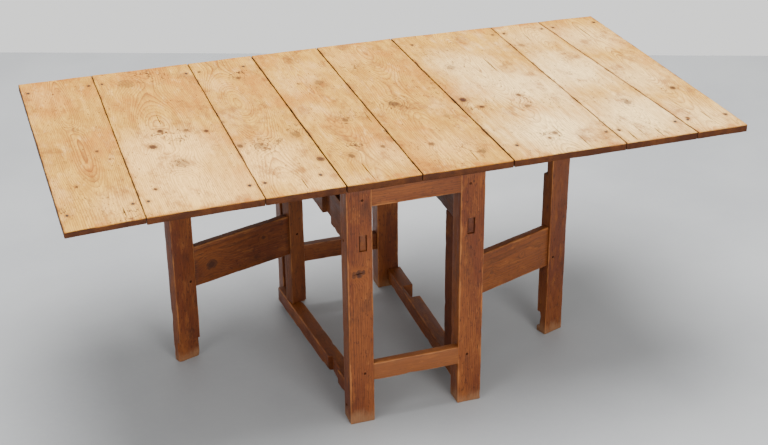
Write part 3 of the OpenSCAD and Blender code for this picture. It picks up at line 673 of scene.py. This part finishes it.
def beam(name, axis, stations, place, seed, radius=1.8 * MM, pitch=18 * MM, wander=0.5 * MM,
         chips=1.0, bend=None):
    """A worn timber. stations are (s, a0, a1, b0, b1) along its axis in the member's own frame.

    Arrises are rounded by about radius, more where they are chipped, and the faces wander a little.
    bend, if given, moves a point given in the frame of the whole table.
    """
    rings = refine(stations, pitch)
    width = max(r[2] - r[1] for r in rings)
    depth = max(r[4] - r[3] for r in rings)
    counts = (max(1, int(width / pitch)), max(1, int(depth / pitch)))
    first, last = rings[0], rings[-1]
    body = [r for r in rings if first[0] + radius * 1.5 < r[0] < last[0] - radius * 1.5]
    loops = [(first, radius, 0.0), (first, radius * 0.3, radius * 0.3), (first, 0.0, radius)]
    loops += [(r, 0.0, 0.0) for r in body]
    loops += [(last, 0.0, -radius), (last, radius * 0.3, -radius * 0.3), (last, radius, 0.0)]
    mesh = bmesh.new()
    made = []
    far = Vector((seed * 11.0, seed * 3.0, seed * 7.0))
    for (s, a0, a1, b0, b1), inset, shift in loops:
        station = s + shift
        radii = []
        for corner in range(4):
            wave = noise.noise(Vector((station * 14, corner * 9.3, seed * 1.7)))
            chip = noise.noise(Vector((station * 55, corner * 5.1, seed * 2.3 + 40)))
            value = radius * (0.75 + 0.7 * max(0.0, wave)) * (1 + 2.2 * chips * max(0.0, chip - 0.32) / 0.4)
            radii.append(min(value, (a1 - a0) * 0.3, (b1 - b0) * 0.3))
        loop = section(a0 + inset, a1 - inset, b0 + inset, b1 - inset, radii, counts)
        ring = []
        for a, b in loop:
            point = Vector({"z": (a, b, station), "x": (station, a, b), "y": (a, station, b)}[axis])
            push = noise.noise_vector(point * 17 + far) * wander
            push += noise.noise_vector(point * 4 + far) * wander * 0.9
            ring.append(mesh.verts.new(point + push))
        made.append(ring)
    skin(mesh, made)
    mesh.transform(place_matrix(place))
    if bend:
        for v in mesh.verts:
            v.co = bend(v.co)
    return bake_object(mesh, name)


CHECK_OUTLINE = ((-0.5, 0), (-0.2, 0.42), (0.1, 0.5), (0.34, 0.3), (0.5, 0), (0.3, -0.42), (0.0, -0.5),
                 (-0.3, -0.34))


def wedge(at, along, length, width, depth, up=Vector((0, 0, 1))):
    """A lens-shaped cutter for a check or crack that opens on the face at 'at'."""
    along = Vector(along).normalized()
    side = up.cross(along).normalized()
    mesh = bmesh.new()
    upper, lower = [], []
    for u, v in CHECK_OUTLINE:
        base = Vector(at) + along * (u * length) + side * (v * width)
        upper.append(mesh.verts.new(base + up * 2 * MM))
        lower.append(mesh.verts.new(base - up * depth - side * (v * width * 0.7)))
    skin(mesh, [lower, upper])
    return bake(mesh, "cutter")


def block(low, high):
    """A box-shaped cutter."""
    mesh = bmesh.new()
    bmesh.ops.create_cube(mesh, size=1.0)
    for v in mesh.verts:
        v.co = Vector([low[i] + (v.co[i] + 0.5) * (high[i] - low[i]) for i in range(3)])
    return bake(mesh, "cutter")


def carve(target, cutters):
    """Cuts each mesh out of the target, then removes the cutters."""
    for data in cutters:
        cutter = add_object("cutter", data)
        modifier = target.modifiers.new("cut", "BOOLEAN")
        modifier.operation = "DIFFERENCE"
        modifier.solver = "EXACT"
        modifier.object = cutter
    bpy.context.view_layer.update()
    graph = bpy.context.evaluated_depsgraph_get()
    cut = bpy.data.meshes.new_from_object(target.evaluated_get(graph))
    used = [m.object for m in target.modifiers]
    target.modifiers.clear()
    old = target.data
    target.data = cut
    cut.name = target.name
    bpy.data.meshes.remove(old)
    for cutter in used:
        data = cutter.data
        bpy.data.objects.remove(cutter)
        bpy.data.meshes.remove(data)
    smooth_by_angle(cut)


def dress(piece, material, body, slot, *replaced):
    piece.data.materials.clear()
    piece.data.materials.append(material)
    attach(piece, body)
    if replaced:
        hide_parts(*replaced)
    return piece


# ---------------------------------------------------------------- the top

def held(value, low, high):
    """How far value has gone from low to high, from 0 to 1."""
    return min(1.0, max(0.0, (value - low) / (high - low)))


def droop(point):
    """The left leaf has sagged a little at its front outer corner."""
    across = held(point.x, *DROOP_X)
    fall = DROOP * across * across * held(point.y, *DROOP_Y)
    return Vector((point.x, point.y, point.z - fall))


def plan(node):
    """A board's outline: front Y, rear Y at its left and right, and its side edges at front and rear."""
    points = [p for p in points_of(node) if p.z > TOP_Z - MM]
    front = min(p.y for p in points)
    near = [p for p in points if p.y < front + MM]
    rear_limit = max(p.y for p in points) - 25 * MM
    far = [p for p in points if p.y > rear_limit]
    left = min(far, key=lambda p: p.x)
    right = max(far, key=lambda p: p.x)
    return {
        "front": front,
        "rear": (left.y, right.y),
        "left": (min(p.x for p in near), left.x),
        "right": (max(p.x for p in near), right.x),
    }


BOARDS = {
    # rough and worn: (X, Y, radius) of stained patches, and of scrubbed ones with their strength
    # pith: its X and its depth below the face. amber: how much of the old finish is left
    # knots: ((X, Y), radius in mm, strength). checks: ((X, Y), length, width and depth in mm)
    "left_leaf_board_outer": {
        "rough": ((-0.93, -0.40, 0.045), (-0.78, -0.475, 0.045)),
        "body": "left_leaf", "seed": 3, "pith": (-0.835, 0.03), "amber": 0.75,
        "worn": ((-0.80, -0.42, 0.10, 0.55), (-0.90, 0.38, 0.10, 0.25)),
        "knots": (((-0.798, -0.066), 4.5, 0.8), ((-0.773, -0.127), 3.2, 0.7), ((-0.882, -0.265), 4.0, 0.8),
                  ((-0.834, 0.105), 9, 0.25)),
        "checks": (((-0.79, -0.455), 70, 1.3, 3),),
    },
    "left_leaf_board_middle": {
        "rough": ((-0.59, -0.03, 0.085), (-0.55, 0.46, 0.10), (-0.60, -0.22, 0.04)),
        "body": "left_leaf", "seed": 8, "pith": (-0.60, 0.05), "amber": 0.5,
        "worn": ((-0.60, -0.18, 0.21, 1.0), (-0.62, -0.38, 0.2, 0.95), (-0.50, -0.42, 0.15, 0.6)),
        "knots": (((-0.611, 0.01), 8, 0.9), ((-0.65, -0.091), 10, 0.9), ((-0.541, -0.007), 7, 0.7),
                  ((-0.49, -0.033), 6, 0.9), ((-0.597, -0.221), 17, 0.45), ((-0.694, -0.355), 4.5, 0.9),
                  ((-0.64, 0.40), 20, 0.35)),
        "checks": (((-0.60, 0.09), 90, 1.4, 3),),
    },
    "left_leaf_board_inner": {
        "rough": ((-0.37, -0.18, 0.08), (-0.25, -0.10, 0.05), (-0.30, 0.35, 0.05)),
        "body": "left_leaf", "seed": 13, "pith": (-0.36, 0.06), "amber": 0.6,
        "worn": ((-0.38, -0.30, 0.17, 0.9), (-0.30, -0.44, 0.12, 0.7)),
        "knots": (((-0.433, 0.014), 7, 0.6), ((-0.425, -0.165), 8, 0.8), ((-0.374, -0.184), 14, 0.4),
                  ((-0.319, -0.168), 6, 0.5), ((-0.243, -0.321), 9, 0.9), ((-0.262, -0.14), 13, 0.5),
                  ((-0.31, 0.33), 7, 0.7)),
        "checks": (((-0.325, -0.455), 75, 1.6, 5),),
    },
    "top_board_left": {
        "rough": ((-0.15, -0.29, 0.06), (-0.09, -0.08, 0.06), (-0.14, 0.20, 0.05)),
        "body": "base", "seed": 18, "pith": (-0.13, 0.035), "amber": 0.7,
        "worn": ((-0.07, -0.36, 0.11, 0.6), (-0.18, 0.0, 0.09, 0.3)),
        "knots": (((-0.013, -0.205), 10, 0.7), ((-0.102, -0.09), 8, 0.6), ((-0.09, 0.21), 12, 0.45),
                  ((-0.16, -0.33), 9, 0.7), ((-0.06, -0.30), 6, 0.7)),
        "checks": (((-0.148, -0.44), 125, 1.7, 7), ((-0.035, -0.10), 80, 1.5, 4)),
    },
    "top_board_right": {
        "rough": ((0.07, -0.03, 0.07), (0.15, -0.38, 0.06), (0.04, 0.30, 0.05)),
        "body": "base", "seed": 24, "pith": (0.10, 0.05), "amber": 0.75,
        "worn": ((0.12, -0.36, 0.12, 0.5), (0.05, 0.38, 0.10, 0.3)),
        "knots": (((0.069, -0.026), 14, 0.75), ((0.244, -0.016), 6, 0.5), ((0.18, -0.42), 9, 0.6),
                  ((0.07, -0.33), 7, 0.7), ((0.18, -0.16), 10, 0.35)),
        "checks": (((0.15, -0.44), 100, 1.3, 4),),
    },
    "right_leaf_board_inner": {
        "rough": ((0.29, -0.12, 0.06), (0.43, -0.13, 0.06), (0.40, -0.38, 0.05), (0.35, 0.20, 0.05)),
        "body": "right_leaf", "seed": 29, "pith": (0.42, 0.045), "amber": 0.4,
        "worn": ((0.42, -0.36, 0.24, 1.0), (0.47, -0.05, 0.22, 0.9), (0.38, 0.20, 0.16, 0.7)),
        "knots": (((0.266, -0.065), 11, 1.0), ((0.297, -0.132), 6, 0.9), ((0.434, -0.085), 7, 0.8),
                  ((0.425, -0.171), 8, 0.6), ((0.388, -0.402), 5, 0.9), ((0.416, -0.375), 7, 0.7),
                  ((0.33, 0.19), 12, 0.4)),
        "checks": (((0.452, 0.17), 140, 2.4, 8), ((0.47, -0.45), 115, 1.6, 6), ((0.43, -0.36), 80, 1.4, 4)),
    },
    "right_leaf_board_middle": {
        "rough": ((0.70, -0.24, 0.035),),
        "body": "right_leaf", "seed": 35, "pith": (0.70, 0.02), "amber": 0.35,
        "worn": ((0.68, -0.34, 0.24, 1.0), (0.68, 0.02, 0.22, 1.0), (0.66, 0.36, 0.14, 0.5)),
        "knots": (((0.707, -0.241), 10, 0.6), ((0.61, 0.30), 9, 0.4)),
        "checks": (((0.61, -0.465), 75, 2.0, 8), ((0.69, -0.47), 80, 2.2, 8), ((0.645, -0.44), 110, 1.4, 5),
                   ((0.66, 0.36), 110, 1.6, 5)),
    },
    "right_leaf_board_outer": {
        "rough": ((0.86, -0.20, 0.04),),
        "body": "right_leaf", "seed": 41, "pith": (0.86, 0.04), "amber": 0.45,
        "worn": ((0.84, -0.40, 0.18, 0.7), (0.82, -0.08, 0.18, 0.7), (0.82, 0.30, 0.14, 0.6)),
        "knots": (((0.885, -0.19), 8, 0.9), ((0.813, -0.406), 5, 0.9)),
        "checks": (((0.857, 0.35), 150, 2.2, 8), ((0.872, -0.42), 120, 1.6, 5),
                   ((0.835, -0.30), 150, 1.2, 4)),
    },
}


CHECK_WIDTHS = 2.1
CHECK_DEPTHS = 1.6
BOARD_PLAY = 0.5 * MM
OUTER_THINNER = 4 * MM
NAIL_STAIN = (4.6 * MM, 0.95)
NAIL_PROUD = 0.6 * MM
NAIL_HEAD_SHARE = 0.74
NAIL_SIDES = 9
# Up the part of a nail that shows: height from the CAD head's top, share of the head's radius
NAIL_PROFILE = ((-7 * MM, 0.35), (-2.6 * MM, 0.5), (-1.6 * MM, 1.0), (-0.3 * MM, 0.95), (0.25 * MM, 0.45))


def nail_stains(node, shape):
    """A small dark stain round each nail that is driven through the board."""
    if not node.startswith(("left_leaf", "right_leaf")):
        return []
    body = node[:node.index("_board")]
    low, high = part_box(node)
    stains = []
    for nail_low, nail_high in islands(body + "_nails"):
        x, y = (nail_low.x + nail_high.x) / 2, (nail_low.y + nail_high.y) / 2
        if low.x < x < high.x and shape["front"] < y < shape["rear"][0]:
            stains.append(((x, y, 0.0), *NAIL_STAIN))
    return stains


def make_board(node, facts):
    shape = plan(node)
    front, rear = shape["front"], shape["rear"]
    middle_rear = (rear[0] + rear[1]) / 2
    left, right = shape["left"], shape["right"]
    slant = (rear[1] - rear[0]) / (right[1] - left[1])
    drooped = facts["body"] == "left_leaf"
    thin = OUTER_THINNER if node == "left_leaf_board_outer" else 0.0
    stations = [
        (front, left[0], right[0], UNDER_Z + thin + BOARD_PLAY, TOP_Z),
        (middle_rear, left[1], right[1], UNDER_Z + BOARD_PLAY, TOP_Z),
    ]

    def shape_ends(point):
        """Slants and roughens the two ends, which were sawn by hand."""
        t = (point.y - front) / (middle_rear - front)
        rear_shift = slant * (point.x - (left[1] + right[1]) / 2)
        rear_shift += noise.noise(Vector((point.x * 9, facts["seed"], 2))) * 2.6 * MM - 1.4 * MM
        front_shift = noise.noise(Vector((point.x * 9, facts["seed"], 7))) * 2.2 * MM + 1.0 * MM
        moved = point + Vector((0, rear_shift * t ** 6 + front_shift * (1 - t) ** 6, 0))
        return droop(moved) if drooped else moved

    board = beam(node + "_worn", "y", stations, WORLD, facts["seed"], radius=1.7 * MM,
                 pitch=13 * MM, wander=0.45 * MM, chips=1.2, bend=shape_ends)
    cutters = []
    for i, (at, length, width, depth) in enumerate(facts["checks"]):
        lean = (noise.noise(Vector((i * 3.1, facts["seed"], 0.5))) * 0.06, 1, 0)
        face = Vector((at[0], at[1], TOP_Z - 0.2 * MM))
        if drooped:
            face = droop(face)
        cutters.append(wedge(face, lean, length * MM, width * CHECK_WIDTHS * MM, depth * CHECK_DEPTHS * MM))
    carve(board, cutters)
    knots = [((x, y, 0.0), size * MM, depth) for (x, y), size, depth in facts["knots"]]
    knots += nail_stains(node, shape)
    outline = (front, middle_rear, left, right)
    scrubbed = BLEACHED if facts["body"] == "right_leaf" else SCRUBBED
    material = board_material(node + "_pine", outline, facts["seed"], facts["pith"], knots, facts["worn"],
                              facts["amber"], facts["rough"], drooped, scrubbed)
    dress(board, material, facts["body"], "scrubbed_top_pine", node)


def uneven_ring(mesh, centre, across, up, radius, sides, turn, share, draw):
    """A ring of vertices whose radius varies by a share; draw(i, angle) gives where its noise is read."""
    ring = []
    for i in range(sides):
        angle = 2 * math.pi * (i + turn) / sides
        reach = radius * (1 + share * noise.noise(Vector(draw(i, angle))))
        ring.append(mesh.verts.new(centre + across * reach * math.cos(angle) + up * reach * math.sin(angle)))
    return ring


def make_nails(node, body):
    """Hand-forged nail heads, uneven discs that stand just proud of the wood."""
    mesh = bmesh.new()
    for index, (low, high) in enumerate(islands(node)):
        top = Vector(((low.x + high.x) / 2, (low.y + high.y) / 2, high.z))
        if body == "left_leaf":
            top = droop(top)
        radius = (high.x - low.x) / 2 * NAIL_HEAD_SHARE

        def draw(i, angle):
            return math.cos(angle) * 2, math.sin(angle) * 2, index * 3.3

        rings = []
        for level, scale in NAIL_PROFILE:
            at = top + Vector((0, 0, level + NAIL_PROUD))
            rings.append(uneven_ring(mesh, at, Vector((1, 0, 0)), Vector((0, 1, 0)), radius * scale,
                                     NAIL_SIDES, 0, 0.16, draw))
        skin(mesh, rings)
    nails = bake_object(mesh, node + "_forged")
    dress(nails, iron_material(node + "_iron", 5, 0.25), body, "forged_iron", node)


# ---------------------------------------------------------------- the base and the gates

CRACK = {"up": 0.478, "in": 30 * MM, "lean": (1, 0, 0.12), "size": (34 * MM, 3.2 * MM, 5 * MM)}
TENON_SLACK = 1.6 * MM
TENON_SINK = 2.2 * MM
TENON_LENGTH = 30 * MM
TENON_TAPER = 0.5 * MM
MORTISE_DEPTH = 16 * MM
NOTCH_WALL = 0.4 * MM
REBATE_STEP = 0.5 * MM
LEG_BELOW_TOP = 1.2 * MM
PEG_SIDES = 8
GATE_PEG_LENGTH = 38 * MM
# Along a peg from its middle: share of its length, share of its radius, how proud of the face
PEG_PROFILE = ((-0.5, 0.55, 0.9 * MM), (-0.5, 0.9, 0.2 * MM), (0.5, 0.9, 0.2 * MM), (0.5, 0.55, 0.9 * MM))
# Painted shade and light on each gate's post, rail and leg: above 0 painted darker, below 0 painted lighter
GATE_PAINTED_SHADING = {"left_gate": (0.36, 0.28, 0.12), "right_gate": (0.2, -0.14, 0.04)}
# (along, up), radius and strength of the knots that show on each gate's rail
RAIL_KNOTS = {
    "left_gate": (((0.297, 0.298), 12 * MM, 0.9), ((0.115, 0.33), 5 * MM, 0.8)),
    "right_gate": (((0.13, 0.30), 5 * MM, 0.5), ((0.25, 0.32), 4 * MM, 0.4)),
}
LEG_KNOTS = {
    "leg_front_left": (((-0.207, -0.490, 0.476), 6.5 * MM, 1.0), ((-0.194, -0.490, 0.478), 8 * MM, 1.0),
                       ((-0.182, -0.490, 0.482), 5 * MM, 0.8)),
    "leg_front_right": (((0.13, -0.49, 0.70), 3 * MM, 0.8),),
    "leg_rear_left": (),
    "leg_rear_right": (((0.13, 0.22, 0.40), 6 * MM, 0.6),),
}


def straight(node, axis, place, seed, painted_shading=0.0, knots=(), foot=False, trim=0.0, **shape):
    """A plain member the size of its CAD node, with a tenon of trim left off at both ends."""
    low, high = local_box(node, place)
    along, a, b = {"z": (2, 0, 1), "x": (0, 1, 2)}[axis]
    ends = [(s, low[a], high[a], low[b], high[b]) for s in (low[along] + trim, high[along] - trim)]
    piece = beam(node + "_worn", axis, ends, place, seed, **shape)
    return piece, stained_material(node + "_stain", place, axis, low, high, seed, painted_shading, knots, foot)


def make_legs():
    for seed, (node, knots) in enumerate(LEG_KNOTS.items(), start=50):
        # The material's grain runs along Y, so a knot's Y and Z are exchanged
        turned = [((x, z, y), size, depth) for (x, y, z), size, depth in knots]
        leg, material = straight(node, "z", WORLD, seed, knots=turned, foot=True, radius=2.0 * MM, chips=1.5)
        low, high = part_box(node)
        rail = "side_rail_left" if "left" in node else "side_rail_right"
        cutters = [mortise(low, high, rail, "front" in node)]
        if node == "leg_front_left":
            # The big knot has shrunk open across the leg
            at = Vector((low.x + CRACK["in"], low.y, CRACK["up"]))
            cutters.append(wedge(at, CRACK["lean"], *CRACK["size"], Vector((0, -1, 0))))
        carve(leg, cutters)
        dress(leg, material, "base", "stained_frame_pine", node)


def tenon_box(rail, at_front):
    """The through tenon of a side rail: its X span and Z span on the leg's outer face."""
    points = points_of(rail)
    edge = extent(p.y for p in points)[0 if at_front else 1]
    ends = [p for p in points if abs(p.y - edge) < MM]
    return extent(p.x for p in ends), extent(p.z for p in ends)


def mortise(low, high, rail, at_front):
    """The mouth of a through mortise, cut a little slack round its tenon."""
    (x0, x1), (z0, z1) = tenon_box(rail, at_front)
    y0, y1 = (low.y - MM, low.y + MORTISE_DEPTH) if at_front else (high.y - MORTISE_DEPTH, high.y + MM)
    return block((x0 - TENON_SLACK, y0, z0 - TENON_SLACK), (x1 + TENON_SLACK, y1, z1 + 0.5 * TENON_SLACK))


def make_cross_rails():
    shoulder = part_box("leg_front_left")[1].x
    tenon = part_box("top_rail_front")[0].x
    # Painted shade on the rear rail and stretcher, painted light on the front ones
    painted_shadings = {"top_rail_front": -0.12, "top_rail_rear": 0.25, "stretcher_front": -0.34, "stretcher_rear": 0.18}
    for seed, (node, painted_shading) in enumerate(painted_shadings.items(), start=60):
        piece, material = straight(node, "x", WORLD, seed, painted_shading, trim=shoulder - tenon - MM,
                                   radius=2.2 * MM, chips=1.0)
        dress(piece, material, "base", "stained_frame_pine", node)


def rail_edges(node):
    """A skewed rail's X span at its front and rear shoulders, its notch and its height."""
    points = points_of(node)
    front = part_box("leg_front_left")[1].y
    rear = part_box("leg_rear_left")[0].y
    spans = [extent(p.x for p in points if abs(p.y - y) < 0.2 * MM) for y in (front, rear)]
    return front, rear, spans, extent(p.z for p in points)


def notch_of(node, side, front, rear):
    """(start Y, end Y, floor X) of the notch that takes the folded gate leg."""
    low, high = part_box(node)
    points = [p for p in points_of(node) if front + 20 * MM < p.y < rear - 20 * MM]
    # Only the notch's corners are found on both the upper and the lower face
    upper = set(round(p.y, 4) for p in points if high.z - p.z < 0.1 * MM)
    lower = set(round(p.y, 4) for p in points if p.z - low.z < 0.1 * MM)
    start, end = min(upper & lower), max(upper & lower)
    floor = sorted(set(round(p.x, 4) for p in points if abs(p.y - start) < 0.1 * MM))
    # The floor lies between the rail's inner and outer faces
    return start, end, floor[1] if side < 0 else floor[-2]


def make_long_rails():
    # The middle value is painted shade: the side rails under the top are painted darker
    facts = {"side_rail_left": (-1, 0.30, 70), "side_rail_right": (1, 0.30, 71),
             "stretcher_left": (-1, -0.02, 72), "stretcher_right": (1, -0.02, 73)}
    for node, (side, painted_shading, seed) in facts.items():
        front, rear, (at_front, at_rear), (z0, z1) = rail_edges(node)
        start, end, floor = notch_of(node, side, front, rear)

        def span_at(y):
            t = (y - front) / (rear - front)
            return tuple(a + (b - a) * t for a, b in zip(at_front, at_rear))

        def station(y, notched):
            x0, x1 = span_at(y)
            if notched:
                x0, x1 = (floor, x1) if side < 0 else (x0, floor)
            return (y, x0, x1, z0, z1)

        stations = [station(front - MM, False), station(start - NOTCH_WALL, False), station(start, True),
                    station(end, True), station(end + NOTCH_WALL, False), station(rear + MM, False)]
        piece = beam(node + "_worn", "y", stations, WORLD, seed, radius=2.4 * MM, chips=1.6,
                     wander=0.7 * MM)
        angle = -math.atan2((at_rear[0] - at_front[0]), rear - front)
        middle_x = (sum(at_front) + sum(at_rear)) / 4
        place = ((middle_x, (front + rear) / 2, (z0 + z1) / 2), angle)
        half = Vector(((at_front[1] - at_front[0]) / 2, (rear - front) / 2, (z1 - z0) / 2))
        material = stained_material(node + "_stain", place, "y", -half, half, seed, painted_shading)
        dress(piece, material, "base", "stained_frame_pine", node)
        if node.startswith("side_rail"):
            make_tenon_ends(node, material, seed)


def make_tenon_ends(rail, material, seed):
    """The two ends of a side rail's through tenons, seen on the legs' outer faces."""
    for at_front in (True, False):
        (x0, x1), (z0, z1) = tenon_box(rail, at_front)
        leg = "leg_front_left" if at_front else "leg_rear_left"
        low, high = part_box(leg)
        y0, y1 = low.y + TENON_SINK, low.y + TENON_LENGTH
        if not at_front:
            y0, y1 = high.y - TENON_LENGTH, high.y - TENON_SINK
        stations = [(y0, x0 + TENON_TAPER, x1 - TENON_TAPER, z0, z1), (y1, x0, x1, z0, z1)]
        piece = beam(rail + "_tenon_" + ("front" if at_front else "rear"), "y", stations,
                     WORLD, seed + at_front, radius=1.2 * MM, pitch=8 * MM, wander=0.4 * MM)
        dress(piece, material, "base", "stained_frame_pine")


def gate_place(joint, closed_angle):
    """A gate's own frame: the pivot on the floor, X along the arm, as it stands at rest."""
    pivot = joints[joint]["pos_m"]
    angle = closed_angle - math.radians(joints[joint]["range_deg"][1])
    return (Vector((pivot[0], pivot[1], 0)), angle)


def gate_leg_stations(node, place, broken_toe):
    """A gate leg's sections, up past the rebates that clear the stretcher and the side rail."""
    points = points_of(node, place)
    low, high = corners(points)
    foot_top = min(v.z for v in points if v.z > 2 * MM)
    rebate_top = min(v.z for v in points if v.z > foot_top + 10 * MM)
    upper = min(v.z for v in points if v.z > 0.5 and v.y > 0)
    foot_face = max(v.y for v in points if foot_top + MM < v.z < rebate_top + 0.1 * MM and v.y < high.y - MM)
    upper_face = max(v.y for v in points if v.z > upper + 20 * MM)
    toe = foot_face + REBATE_STEP if broken_toe else high.y
    levels = ((low.z, toe), (foot_top, toe), (foot_top + REBATE_STEP, foot_face),
              (rebate_top - REBATE_STEP, foot_face), (rebate_top, high.y), (upper, high.y),
              (upper + REBATE_STEP, upper_face), (high.z - LEG_BELOW_TOP, upper_face))
    return [(z, low.x, high.x, low.y, face) for z, face in levels]


def make_gate(body, place, seed):
    # Painted shade and light for the gate's post, rail and leg
    painted_shadings = GATE_PAINTED_SHADING[body]
    post_low, post_high = local_box(body + "_post", place)
    levels = sorted(set(round(p.z, 4) for p in points_of(body + "_post")))
    bottom = [z for z in levels if z > levels[0] + 5 * MM][0]
    top = [z for z in levels if z < levels[-1] - 5 * MM][-1]
    stations = [(z, post_low.x, post_high.x, post_low.y, post_high.y) for z in (bottom, top)]
    post = beam(body + "_post_worn", "z", stations, place, seed, radius=2.0 * MM, chips=1.2)
    material = stained_material(body + "_post_stain", place, "z", post_low, post_high, seed, painted_shadings[0])
    dress(post, material, body, "stained_frame_pine", body + "_post")

    leg_low, leg_high = local_box(body + "_leg", place)
    low, high = local_box(body + "_rail", place)
    stations = [(s, low.y, high.y, low.z, high.z) for s in (post_high.x - MM, leg_low.x + MM)]
    rail = beam(body + "_rail_worn", "x", stations, place, seed + 1, radius=2.4 * MM, chips=1.0)
    # A knot's place is (across, along, up) in the rail's own frame, on the face that the photo shows
    face = high.y if body == "left_gate" else low.y
    knots = [((face, along, up), size, depth) for (along, up), size, depth in RAIL_KNOTS[body]]
    material = stained_material(body + "_rail_stain", place, "x", low, high, seed + 1, painted_shadings[1], knots)
    dress(rail, material, body, "stained_frame_pine", body + "_rail")

    # The left gate's toe below its rebate has broken off
    stations = gate_leg_stations(body + "_leg", place, body == "left_gate")
    leg = beam(body + "_leg_worn", "z", stations, place, seed + 2, radius=2.2 * MM, chips=2.4,
               wander=0.8 * MM)
    material = stained_material(body + "_leg_stain", place, "z", leg_low, leg_high, seed + 2, painted_shadings[2],
                                foot=True)
    dress(leg, material, body, "stained_frame_pine", body + "_leg")


def make_pegs(node, body, seed, dark):
    """Peg ends, eight-sided and a little proud of the faces they are driven through."""
    mesh = bmesh.new()
    up = Vector((0, 0, 1))
    for index, (low, high) in enumerate(islands(node)):
        size = high - low
        if body in gate_places:
            axis = Matrix.Rotation(gate_places[body][1], 3, "Z") @ Vector((0, 1, 0))
            length = GATE_PEG_LENGTH
        else:
            axis = Vector((1, 0, 0)) if size.x > size.y else Vector((0, 1, 0))
            length = max(size.x, size.y)

        def draw(i, angle):
            return i * 1.7, index * 2.9, seed

        rings = []
        for along, scale, proud in PEG_PROFILE:
            at = (low + high) / 2 + axis * (along * length + math.copysign(proud, along))
            rings.append(uneven_ring(mesh, at, axis.cross(up), up, size.z / 2 * scale,
                                     PEG_SIDES, 0.3 * index, 0.12, draw))
        skin(mesh, rings)
    pegs = bake_object(mesh, node + "_whittled")
    dress(pegs, peg_material(node + "_end_grain", seed, dark), body, "peg_wood", node)


def make_battens():
    for seed, node in enumerate(("left_leaf_batten_front", "left_leaf_batten_rear",
                                 "right_leaf_batten_front", "right_leaf_batten_rear"), start=90):
        body = node[:node.index("_batten")]
        bend = droop if body == "left_leaf" else None
        # The battens under the leaves are painted 0.3 darker as painted shade
        piece, material = straight(node, "x", WORLD, seed, 0.3, radius=2.5 * MM, chips=1.5, bend=bend)
        dress(piece, material, body, "batten_pine", node)


def keep_iron():
    """The hinges keep their CAD meshes, with their arrises hammered round."""
    iron = iron_material("hinge_iron", 11, 0.55)
    for name, node in nodes.items():
        if "strap" in name or "pins" in name or name.endswith("hinge_nails"):
            weld = node.modifiers.new("weld", "WELD")
            weld.merge_threshold = 0.01 * MM
            bevel = node.modifiers.new("round", "BEVEL")
            bevel.width = 0.45 * MM
            bevel.segments = 2
            bevel.limit_method = "ANGLE"
            bevel.angle_limit = math.radians(40)
            node.data.materials.clear()
            node.data.materials.append(iron)
    nodes["top_dowels"].data.materials.clear()
    nodes["top_dowels"].data.materials.append(peg_material("dowel_wood", 4, 0.0))


gate_places = {
    "left_gate": gate_place("left_gate_pivot", math.radians(270)),
    "right_gate": gate_place("right_gate_pivot", math.radians(90)),
}

make_camera()
make_lights()
make_floor()
for board_node, board_facts in BOARDS.items():
    make_board(board_node, board_facts)
make_nails("left_leaf_nails", "left_leaf")
make_nails("right_leaf_nails", "right_leaf")
make_battens()
make_legs()
make_cross_rails()
make_long_rails()
make_gate("left_gate", gate_places["left_gate"], 80)
make_gate("right_gate", gate_places["right_gate"], 84)
make_pegs("frame_pegs", "base", 1, 0.1)
make_pegs("left_gate_pegs", "left_gate", 2, 0.6)
make_pegs("right_gate_pegs", "right_gate", 3, 0.6)
keep_iron()
